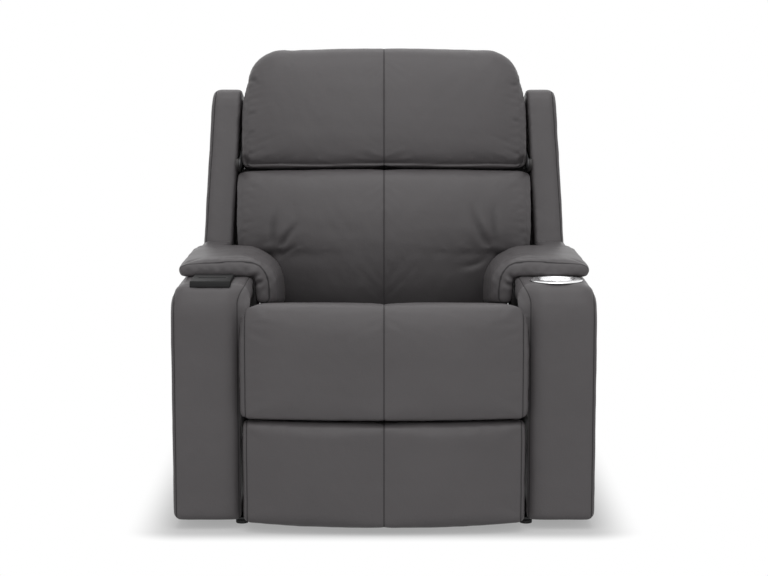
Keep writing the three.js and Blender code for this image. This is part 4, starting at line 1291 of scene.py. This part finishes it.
@dataclass
class Padding:
    """One padded piece, grown from the solid that it stands for."""

    name: str
    node: str
    body: str
    voxel: float = 0.006
    relax: int = 12
    pressure: float = 4.0
    reach: float = 0.004
    fill: float = 0.8
    seams: tuple[Seam, ...] = ()
    folds: tuple[Fold, ...] = ()
    shapes: tuple[Tuck | Lift | Side | ArmRoll | EdgeRound, ...] = ()
    settle: int = 0
    held_towards: Triple | None = None
    hollow_shell: bool = False
    pockets: tuple[Pocket, ...] = ()
    proud: Triple = (0.003, 0.006, 0.004)
    wrinkle: float = 0.0006
    levels: int = 1
    # The cloth run that swells a cushion, and how much of the reach may go inwards and sideways
    FRAMES = 20
    CLOTH = {
        "quality": 5, "mass": 0.3, "tension_stiffness": 14, "compression_stiffness": 14,
        "shear_stiffness": 6, "bending_stiffness": 0.6, "use_pressure": True, "vertex_group_mass": "held",
    }
    MOST_INWARD = 0.4
    MOST_SIDEWAYS = 0.5
    # How near a seam points snap to it and are held, in voxels, and where a resting side is held
    SNAP = 0.34
    HELD_REACH = 0.6
    HELD_FROM = 0.55
    HELD_TURN = 0.3
    LEAST_HELD = 0.05
    # The soft shoulder beside a seam, in seam widths and depths, and the reach of its gathers
    SHOULDER_PLACE = 1.7
    SHOULDER_WIDTH = 0.9
    SHOULDER_RISE = 0.22
    RIPPLE_START = 0.003
    RIPPLE_REACH = 0.02
    # How far off a seam's line counts where the seam isn't seen, and how dark the painted shade in a fold is
    PAST_SEAM = 0.02
    FOLD_PAINTED_SHADE = 0.5
    POCKET_EDGE = math.radians(50)

    def build(self, palette: Palette, threads: Threads) -> bpy.types.Object:
        """Makes the piece.

        Args:
            palette: The finishes.
            threads: The thread that its seams are added to.

        Returns:
            The finished object, riding on its body.
        """
        shape = merged_copy(self.node)
        if self.hollow_shell:
            without_core(shape)
        even = Points(evenly_meshed(shape, self.voxel))
        even.relax(self.relax)
        mesh = self._sewn(even)
        points = Points(mesh)
        for shape in self.shapes:
            points.at += shape.move(points.at, points.normals())
        points.relax(self.settle)
        if self.pressure:
            self._swell(points)
        self._stay_clear(points)
        points.write()
        piece = linked(self.name, points.mesh)
        finer = piece.modifiers.new("finer", "SUBSURF")
        finer.levels = self.levels
        finer.render_levels = self.levels
        mesh = applied(piece)
        for pocket in self.pockets:
            mesh = pocket.cut(linked("shell", mesh))
        self._detail(Points(mesh))
        mesh.shade_smooth()
        if self.pockets:
            mesh.set_sharp_from_angle(angle=self.POCKET_EDGE)
        piece = linked(self.name, mesh)
        dress(piece, palette.of(Slot.LEATHER), self.body, Slot.LEATHER, self.node)
        for seam in self.seams:
            if seam.drawn:
                threads.follow(piece, self.body, seam)
        return piece

    def _sewn(self, even: Points) -> bpy.types.Mesh:
        """Gives the mesh a row of edges along each seam.

        Args:
            even: The piece's points, with an even mesh.

        Returns:
            The same mesh with the new edges.
        """
        shape = bmesh.new()
        shape.from_mesh(even.mesh)
        for point, normal in (plane for seam in self.seams for plane in seam.planes()):
            for vertex in shape.verts:
                offset = (vertex.co - point).dot(normal)
                if abs(offset) < self.SNAP * self.voxel:
                    vertex.co -= offset * normal
            everything = shape.verts[:] + shape.edges[:] + shape.faces[:]
            bmesh.ops.bisect_plane(shape, geom=everything, dist=1e-5, plane_co=point, plane_no=normal)
        shape.to_mesh(even.mesh)
        shape.free()
        return even.mesh

    def _swell(self, points: Points) -> None:
        """Lets air pressure fill the piece between its seams, with each point's movement capped.

        Args:
            points: The piece's points, moved in place.
        """
        start = points.at.copy()
        normals = points.normals()
        held = np.zeros(len(start))
        for seam in self.seams:
            near = np.clip(1 - np.abs(seam.offset(start)) / (self.HELD_REACH * self.voxel), 0, 1)
            held = np.maximum(held, near * seam.share(normals))
        if self.held_towards is not None:
            facing = normals @ unit(self.held_towards)
            held = np.maximum(held, np.clip((facing - self.HELD_FROM) / self.HELD_TURN, 0, 1))
        piece = linked("swelling", points.mesh)
        group = piece.vertex_groups.new(name="held")
        for index in np.flatnonzero(held > self.LEAST_HELD):
            group.add([int(index)], float(held[index]), "REPLACE")
        cloth = piece.modifiers.new("cloth", "CLOTH")
        for setting, value in self.CLOTH.items():
            setattr(cloth.settings, setting, value)
        cloth.settings.uniform_pressure_force = self.pressure
        cloth.settings.effector_weights.gravity = 0
        cloth.collision_settings.use_collision = False
        cloth.point_cache.frame_start = 1
        cloth.point_cache.frame_end = self.FRAMES
        scene = bpy.context.scene
        for number in range(1, self.FRAMES + 1):
            scene.frame_set(number)
        graph = bpy.context.evaluated_depsgraph_get()
        swollen = piece.evaluated_get(graph).to_mesh()
        found = np.empty(len(start) * 3)
        swollen.vertices.foreach_get("co", found)
        move = found.reshape(-1, 3) - start
        piece.evaluated_get(graph).to_mesh_clear()
        scene.frame_set(1)
        bpy.data.objects.remove(piece)
        out = np.sum(move * normals, axis=1)
        lift = self.reach * np.tanh(np.clip(out, -self.MOST_INWARD * self.reach, None) / self.reach)
        lift *= 1 - normals[:, 0] ** 2
        sideways = move - out[:, None] * normals
        length = np.linalg.norm(sideways, axis=1)
        capped = np.minimum(1, self.MOST_SIDEWAYS * self.reach / np.maximum(length, 1e-9))
        points.at = start + lift[:, None] * normals + sideways * capped[:, None]
        points.relax(2, held)

    def _stay_clear(self, points: Points) -> None:
        """Keeps every point in the solid's own space, apart from what leather may stand proud.

        Args:
            points: The piece's points, moved in place.
        """
        low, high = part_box(self.node)
        proud = np.array(self.proud)
        points.at = np.clip(points.at, np.array(low) - proud, np.array(high) + proud)

    def _detail(self, points: Points) -> None:
        """Presses the seams and folds in, marks them for the leather, and paints shade into the grooves,
        folds and tucked edges.

        Args:
            points: The piece's points, moved in place.
        """
        normals = points.normals()
        at = points.at.copy()
        move = np.zeros(len(at))
        # Painted shade: how much darker the leather is painted in seam grooves, folds and tucked edges.
        painted_shade = np.zeros(len(at))
        drawn = [seam for seam in self.seams if seam.drawn]
        for index, name in enumerate(("seam_a", "seam_b")):
            far = np.full(len(at), 1.0)
            if index < len(drawn):
                far = drawn[index].offset(at)
                far += np.where(far < 0, -1, 1) * self.PAST_SEAM * (1 - drawn[index].share(normals))
            points.keep(name, far)
        for seam in self.seams:
            offset = np.abs(seam.offset(at))
            share = seam.share(normals)
            valley = np.clip(1 - offset / seam.width, 0, 1) ** 2 * share
            beyond = (offset - self.SHOULDER_PLACE * seam.width) / (self.SHOULDER_WIDTH * seam.width)
            shoulder = np.exp(-(beyond**2)) * share
            fading = np.exp(-offset / self.RIPPLE_REACH) * (1 - np.exp(-offset / self.RIPPLE_START))
            ripple = seam.ripples(at) * fading * share
            move += seam.depth * (self.SHOULDER_RISE * shoulder - valley) + seam.gather * ripple
            painted_shade = np.maximum(painted_shade, seam.tone * valley)
        for fold in self.folds:
            pressed = fold.press(at, normals)
            move += pressed
            painted_shade = np.maximum(painted_shade, np.clip(-pressed / fold.depth, 0, 1) * self.FOLD_PAINTED_SHADE)
        for shape in self.shapes:
            if isinstance(shape, Tuck):
                painted_shade = np.maximum(painted_shade, shape.shade(at))
        move += self.wrinkle * soft_waves(at)
        points.at = at + normals * move[:, None]
        self._stay_clear(points)
        points.write()
        points.keep("painted_shade", painted_shade)


# Lengths of the slow waves in metres, the largest phase, and the sum's usual height
WAVE_LENGTHS = (0.11, 0.085, 0.062, 0.047, 0.036, 0.029)
WAVE_PHASE = 6.28
WAVE_SUM = 4.5


def soft_waves(at: np.ndarray) -> np.ndarray:
    """Slow uneven waves over a padded surface, about -1 to 1.

    Args:
        at: The points.

    Returns:
        One number for each point.
    """
    rng = np.random.default_rng(7)
    total = np.zeros(len(at))
    for length in WAVE_LENGTHS:
        for _ in range(3):
            heading = rng.normal(size=3)
            heading /= np.linalg.norm(heading)
            wave = np.sin(at @ heading * (2 * math.pi / length) + rng.uniform(0, WAVE_PHASE))
            total += wave * (length / WAVE_LENGTHS[0])
    return total / WAVE_SUM


def dress(piece: bpy.types.Object, material: bpy.types.Material, body: str, slot: Slot, *nodes: str) -> None:
    """Gives a piece its material and its body, and hides the nodes that it stands for.

    Args:
        piece: The piece.
        material: Its material.
        body: The body that it rides on.
        slot: The record's slot for its finish; not used.
        *nodes: The nodes that it replaces.
    """
    piece.data.materials.clear()
    piece.data.materials.append(material)
    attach(piece, body)
    if nodes:
        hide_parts(*nodes)
    triangles = sum(len(face.vertices) - 2 for face in piece.data.polygons)
    LOG.info("%s rides on %s: %d triangles", piece.name, body, triangles)


@dataclass
class RigidPiece:
    """A hard piece, with its edges eased."""

    node: str
    edge: float = 0.0008
    segments: int = 2
    smooth_under: float = 35
    FLAT = math.radians(1.0)
    # Boards that show in the gaps get the near-black plywood, as painted shade there.
    STAINED = ("back_frame", "footrest_board", "headrest_board")
    # Hinges that show in the gap beside the headrest get black steel instead of their own finish, as painted
    # shade there.
    HINGES_DARKENED_FOR_SHADE = ("headrest_hinge_left", "headrest_hinge_right")

    def build(self, palette: Palette) -> bpy.types.Object:
        """Makes the piece from its solid.

        Args:
            palette: The finishes.

        Returns:
            The finished object.
        """
        source = frame["nodes"][self.node]
        slot = Slot(source.data.materials[0].name.split(".")[0])
        shape = merged_copy(self.node)
        bmesh.ops.dissolve_limit(shape, angle_limit=self.FLAT, verts=shape.verts, edges=shape.edges)
        piece = linked("eased", as_mesh(self.node, shape))
        eased = piece.modifiers.new("eased", "BEVEL")
        eased.width = self.edge
        eased.segments = self.segments
        eased.limit_method = "ANGLE"
        eased.angle_limit = math.radians(self.smooth_under)
        eased.use_clamp_overlap = True
        mesh = applied(piece)
        mesh.shade_smooth()
        mesh.set_sharp_from_angle(angle=math.radians(self.smooth_under))
        piece = linked(f"{self.node}_finished", mesh)
        finish = palette.of(slot)
        if self.node in self.STAINED:
            finish = palette.stained
        if self.node in self.HINGES_DARKENED_FOR_SHADE:
            finish = palette.of(Slot.BLACK_STEEL)
        dress(piece, finish, source["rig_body"], slot, self.node)
        return piece


def across(x: float, **options: float | bool | Triple) -> Seam:
    """A seam in an upright plane at one x."""
    return Seam(point=(x, 0, 0), normal=(1, 0, 0), **options)


@dataclass
class BackCushions:
    """The headrest, the lumbar cushion and the two wings of the backrest."""

    headrest_seam_x: float = 0.337
    lumbar_seam_x: float = 0.348
    wing_seam_x: float = 0.4204

    def build(self, palette: Palette, threads: Threads) -> None:
        """Makes the back's padded pieces.

        Args:
            palette: The finishes.
            threads: The thread that the seams are added to.
        """
        up = (0, math.sin(BACK_LEAN), math.cos(BACK_LEAN))
        down = (0, -up[1], -up[2])
        # Faint side seams, with little painted shade in their grooves.
        faint = {"mirrored": True, "drawn": False, "depth": 0.0006, "tone": 0.1}
        sides = across(self.headrest_seam_x, gather=0.0011, **faint)
        Padding(
            "headrest_leather", "headrest_cushion", "headrest", seams=(across(0), sides),
            held_towards=(0, 1, 0), folds=self._headrest_folds(),
            shapes=(
                Tuck(on_back(0, -0.186, 0.457), up, 0.24, 0.05),
                Tuck(on_back(0, -0.186, 0.762), down, 0.12, 0.01),
                Lift(0.275, 0.045, 0.007, 1.0),
            ),
        ).build(palette, threads)
        sides = across(self.lumbar_seam_x, gather=0.0007, **faint)
        Padding(
            "lumbar_leather", "lumbar_cushion", "back", seams=(across(0), sides),
            held_towards=(0, 1, 0), folds=self._lumbar_folds(),
            shapes=(
                # The lumbar's low edge rolls under and is painted darker towards the bottom, as painted
                # shade.
                Tuck(on_back(0, -0.176, 0.11), up, 0.3, 0.055, tone=0.8),
                Tuck(on_back(0, -0.176, 0.457), down, 0.13, 0.02),
                Side(0.32, 0.03, 0.0035, 0.56, 0.76),
            ),
            proud=(0.004, 0.006, 0.004),
        ).build(palette, threads)
        place, normal = (self.wing_seam_x, 0, 0.9), (1, 0, 0.0574)
        edge = Seam(place, normal, mirrored=True, towards=(0, -1, 0.2), least=0.1)
        for side in ("left", "right"):
            Padding(
                f"back_wing_{side}_leather", f"back_wing_{side}", "back", seams=(edge,),
                pressure=0, voxel=0.0055, fill=0.9,
            ).build(palette, threads)

    @staticmethod
    def _headrest_folds() -> tuple[Fold, ...]:
        """The small puckers along the headrest's top edge and side."""
        return (
            Fold((-0.338, 0, 0.972), (-0.31, 0, 0.965), 0.0024, 0.006),
            Fold((-0.338, 0, 0.885), (-0.312, 0, 0.892), 0.0012, 0.006),
            Fold((-0.338, 0, 0.84), (-0.315, 0, 0.845), 0.0012, 0.006),
            Fold((0.338, 0, 0.965), (0.31, 0, 0.958), 0.0014, 0.006),
            Fold((0.338, 0, 0.87), (0.315, 0, 0.876), 0.0012, 0.006),
        )

    @staticmethod
    def _lumbar_folds() -> tuple[Fold, ...]:
        """The soft folds that run out from behind the arm pads."""
        return (
            Fold((-0.262, 0, 0.54), (-0.212, 0, 0.625), 0.0034, 0.008),
            Fold((-0.262, 0, 0.535), (-0.212, 0, 0.572), 0.002, 0.006),
            Fold((-0.27, 0, 0.56), (-0.262, 0, 0.66), 0.0016, 0.012),
            Fold((0.272, 0, 0.545), (0.216, 0, 0.665), 0.0034, 0.01),
            Fold((0.255, 0, 0.54), (0.182, 0, 0.518), 0.002, 0.008),
            Fold((0.28, 0, 0.57), (0.268, 0, 0.67), 0.0016, 0.012),
        )


@dataclass
class SeatCushions:
    """The seat cushion and the footrest cushion."""

    seat_seam_x: float = 0.3025
    footrest_seam_x: float = 0.3005

    def build(self, palette: Palette, threads: Threads) -> None:
        """Makes the two cushions.

        Args:
            palette: The finishes.
            threads: The thread that the seams are added to.
        """
        sides = across(self.seat_seam_x, mirrored=True, gather=0.0005)
        Padding(
            "seat_leather", "seat_cushion", "chassis", seams=(across(0), sides), held_towards=(0, 0, -1),
            shapes=(Lift(0.292, 0.035, 0.008, -0.3),), proud=(0, 0.004, 0.002),
        ).build(palette, threads)
        sides = across(self.footrest_seam_x, mirrored=True)
        Padding(
            "footrest_leather", "footrest_cushion", "footrest", seams=(across(0), sides),
            held_towards=(0, 1, 0), proud=(0.001, 0.004, 0.002),
        ).build(palette, threads)


@dataclass
class Arms:
    """The two arm boxes and the pads that lie on them."""

    outer_seam_x: float = 0.4585
    inner_seam_x: float = 0.3205
    pad_seam_y: float = -0.273
    POCKETS = {
        "left": (Pocket("control_panel", (-1, 0, 0)), Pocket("arm_dock", (0, 0, 1))),
        "right": (Pocket("cup_holder", (0, 0, 1), radius=0.0392),),
    }

    def build(self, palette: Palette, threads: Threads) -> None:
        """Makes both arms.

        Args:
            palette: The finishes.
            threads: The thread that the seams are added to.
        """
        for side, sign in (("left", -1), ("right", 1)):
            seams = (
                across(self.outer_seam_x, mirrored=True),
                across(self.inner_seam_x, mirrored=True, bend=(0.024, 0.5, 0.55)),
            )
            Padding(
                f"arm_{side}_leather", f"arm_cover_{side}", "chassis", seams=seams, voxel=0.008,
                relax=22, pressure=0, hollow_shell=True, fill=1.0, wrinkle=0.0005, settle=3,
                shapes=(ArmRoll(), EdgeRound(0.316, 0.045, 0.014)), pockets=self.POCKETS[side],
            ).build(palette, threads)
            edge = Seam((0, self.pad_seam_y, 0), (0, 1, 0), gather=0.0007, wave=0.026)
            Padding(
                f"arm_pad_{side}_leather", f"arm_pad_{side}", "chassis", seams=(edge,), voxel=0.0048,
                reach=0.003, folds=self._pad_folds(sign), fill=0.7,
            ).build(palette, threads)

    @staticmethod
    def _pad_folds(sign: int) -> tuple[Fold, ...]:
        """The puckers where a pad's front turns down beside the arm."""
        return (
            Fold((sign * 0.302, 0, 0.534), (sign * 0.277, 0, 0.552), 0.0035, 0.006),
            Fold((sign * 0.296, 0, 0.524), (sign * 0.268, 0, 0.536), 0.003, 0.006),
        )


@dataclass
class BackShell:
    """The upholstered panel behind the back and the cover over its top."""

    def build(self, palette: Palette, threads: Threads) -> None:
        """Makes the two pieces.

        Args:
            palette: The finishes.
            threads: The thread that the seams are added to.
        """
        for node in ("outer_back_panel", "back_top_cover"):
            Padding(
                f"{node}_leather", node, "back", voxel=0.009, pressure=0, relax=8, fill=1.0,
                seams=(across(0),), wrinkle=0.0004,
            ).build(palette, threads)


@dataclass
class Filler:
    """A thin dark board that closes a gap and stands in for the shade inside it, with eased edges and a
    pressed panel.
    """

    name: str
    body: str
    slot: Slot
    corners: tuple[Triple, ...]
    edge: float = 0.0009
    border: float = 0.004
    pressed: float = 0.0006
    FLAT = 0.01

    def build(self, palette: Palette) -> bpy.types.Object:
        """Makes the board.

        Args:
            palette: The finishes.

        Returns:
            The finished object.
        """
        shape = bmesh.new()
        found = [shape.verts.new(corner) for corner in self.corners]
        bmesh.ops.convex_hull(shape, input=found)
        bmesh.ops.dissolve_limit(shape, angle_limit=self.FLAT, verts=shape.verts, edges=shape.edges)
        bmesh.ops.bevel(shape, geom=shape.edges[:], offset=self.edge, segments=2, affect="EDGES")
        bmesh.ops.recalc_face_normals(shape, faces=shape.faces)
        broad = sorted(shape.faces, key=lambda face: -face.calc_area())[:2]
        bmesh.ops.inset_individual(shape, faces=broad, thickness=self.border, depth=-self.pressed)
        piece = linked(self.name, as_mesh(self.name, shape))
        dress(piece, palette.of(self.slot), self.body, self.slot)
        return piece


class Hardware:
    """Every hard piece: frames, mechanism, drives, trim and feet."""

    EDGES = {"cup_holder": 0.0006, "arm_dock": 0.0016, "control_panel": 0.0012, "control_box": 0.003}
    # Dark boards in the gaps beside the back and the wings, as painted shade where the gaps are dark.
    FILLERS = {
        "back_gap_shade": ((0.2925, 0.3152), (0.03, 0.034), (0.1, 0.33)),
        "wing_gusset": ((0.3716, 0.392), (0.1055, 0.1095), (0.285, 0.4)),
    }
    # A dark board in the gap at the seat's front, as painted shade there.
    SKIRT = tuple((x, y, z) for z in (0.205, 0.262) for y in (-0.3795, -0.3765) for x in (-0.25, 0.25))

    def build(self, palette: Palette, soft: Sequence[str]) -> None:
        """Makes the pieces of all nodes that aren't soft.

        Args:
            palette: The finishes.
            soft: The nodes that other pieces already stand for.
        """
        for node in sorted(frame["nodes"]):
            if node not in soft:
                RigidPiece(node, edge=self.EDGES.get(node, RigidPiece.edge)).build(palette)
        for name, place in self.FILLERS.items():
            for side, sign in (("left", -1), ("right", 1)):
                corners = self._beside_back(sign, *place)
                Filler(f"{name}_{side}", "back", Slot.BLACK_PLASTIC, corners).build(palette)
        Filler("seat_gap_shade_board", "chassis", Slot.BLACK_PLASTIC, self.SKIRT).build(palette)

    @staticmethod
    def _beside_back(sign: int, wide: tuple, deep: tuple, tall: tuple) -> tuple[Triple, ...]:
        """The corners of a strip beside the back, from its ranges in the back's own frame."""
        return tuple(on_back(sign * x, y, z) for z in tall for y in deep for x in wide)


@dataclass
class Studio:
    """The floor, the light, the white background and the camera."""

    floor_half: float = 30.0
    camera_place: Triple = (0.0, -4.53, 1.11)
    camera_down: float = 7.9
    lens: float = 89.58
    sky_strength: float = 0.575
    LAMPS = (
        ("key_light", (0.0, -1.6, 4.2), (0.0, 0.0, 0.5), 3.2, 54),
        ("front_light", (0.0, -4.6, 2.4), (0.0, 0.0, 0.6), 3.0, 40),
        ("rear_light", (0.0, 1.7, 3.4), (0.0, 0.0, 0.6), 2.6, 13),
    )

    def build(self) -> None:
        """Sets up the studio."""
        self._floor()
        self._sky()
        for lamp in self.LAMPS:
            self._lamp(*lamp)
        self._camera()
        bpy.context.scene.view_settings.view_transform = "Standard"

    def _floor(self) -> None:
        """Makes the floor a little below the feet's contact plane."""
        shape = bmesh.new()
        bmesh.ops.create_grid(shape, x_segments=8, y_segments=8, size=self.floor_half)
        mesh = as_mesh("floor", shape)
        floor = linked("floor", mesh)
        mesh.transform(Matrix.Translation((0, 0, -0.0005)))
        mesh.materials.append(FloorFinish().material())

    def _sky(self) -> None:
        """Lights the object evenly, and shows plain white behind it."""
        world = bpy.data.worlds.new("studio_sky")
        bpy.context.scene.world = world
        world.use_nodes = True
        sky = Nodes(world.node_tree)
        colour = scaled(WHITE, 1)
        glow = sky.add("ShaderNodeBackground", {}, {"Color": colour, "Strength": self.sky_strength})
        white = sky.add("ShaderNodeBackground", {}, {"Color": colour, "Strength": 1.0})
        both = {0: sky.direct_rays(), 1: glow.outputs[0], 2: white.outputs[0]}
        mixed = sky.add("ShaderNodeMixShader", {}, both)
        sky.add("ShaderNodeOutputWorld", {}, {"Surface": mixed.outputs[0]})

    def _lamp(self, name: str, place: Triple, target: Triple, size: float, power: float) -> None:
        """Adds a soft square lamp.

        Args:
            name: Its name.
            place: Where it hangs.
            target: Where it points.
            size: Its side.
            power: Its power in watts.
        """
        light = bpy.data.lights.new(name, "AREA")
        light.shape = "SQUARE"
        light.size = size
        light.energy = power
        lamp = bpy.data.objects.new(name, light)
        lamp.location = place
        lamp.rotation_euler = (Vector(target) - Vector(place)).to_track_quat("-Z", "Y").to_euler()
        bpy.context.scene.collection.objects.link(lamp)

    def _camera(self) -> None:
        """Sets the camera at the photograph's viewing angle."""
        camera = bpy.data.cameras.new("camera")
        camera.lens = self.lens
        camera.sensor_width = 36
        camera.clip_end = 100
        stand = bpy.data.objects.new("camera", camera)
        stand.location = self.camera_place
        stand.rotation_euler = (math.radians(90 - self.camera_down), 0, 0)
        bpy.context.scene.collection.objects.link(stand)
        bpy.context.scene.camera = stand


SOFT_NODES = (
    "headrest_cushion", "lumbar_cushion", "back_wing_left", "back_wing_right", "seat_cushion",
    "footrest_cushion", "arm_cover_left", "arm_cover_right", "arm_pad_left", "arm_pad_right",
    "outer_back_panel", "back_top_cover",
)


def main() -> None:
    """Builds the object's classes in order, then the studio."""
    logging.basicConfig(level=logging.INFO, format="%(message)s")
    palette = Palette()
    threads = Threads()
    SeatCushions().build(palette, threads)
    BackCushions().build(palette, threads)
    Arms().build(palette, threads)
    BackShell().build(palette, threads)
    threads.build(palette)
    Hardware().build(palette, SOFT_NODES)
    Studio().build()


if __name__ == "__main__":
    main()
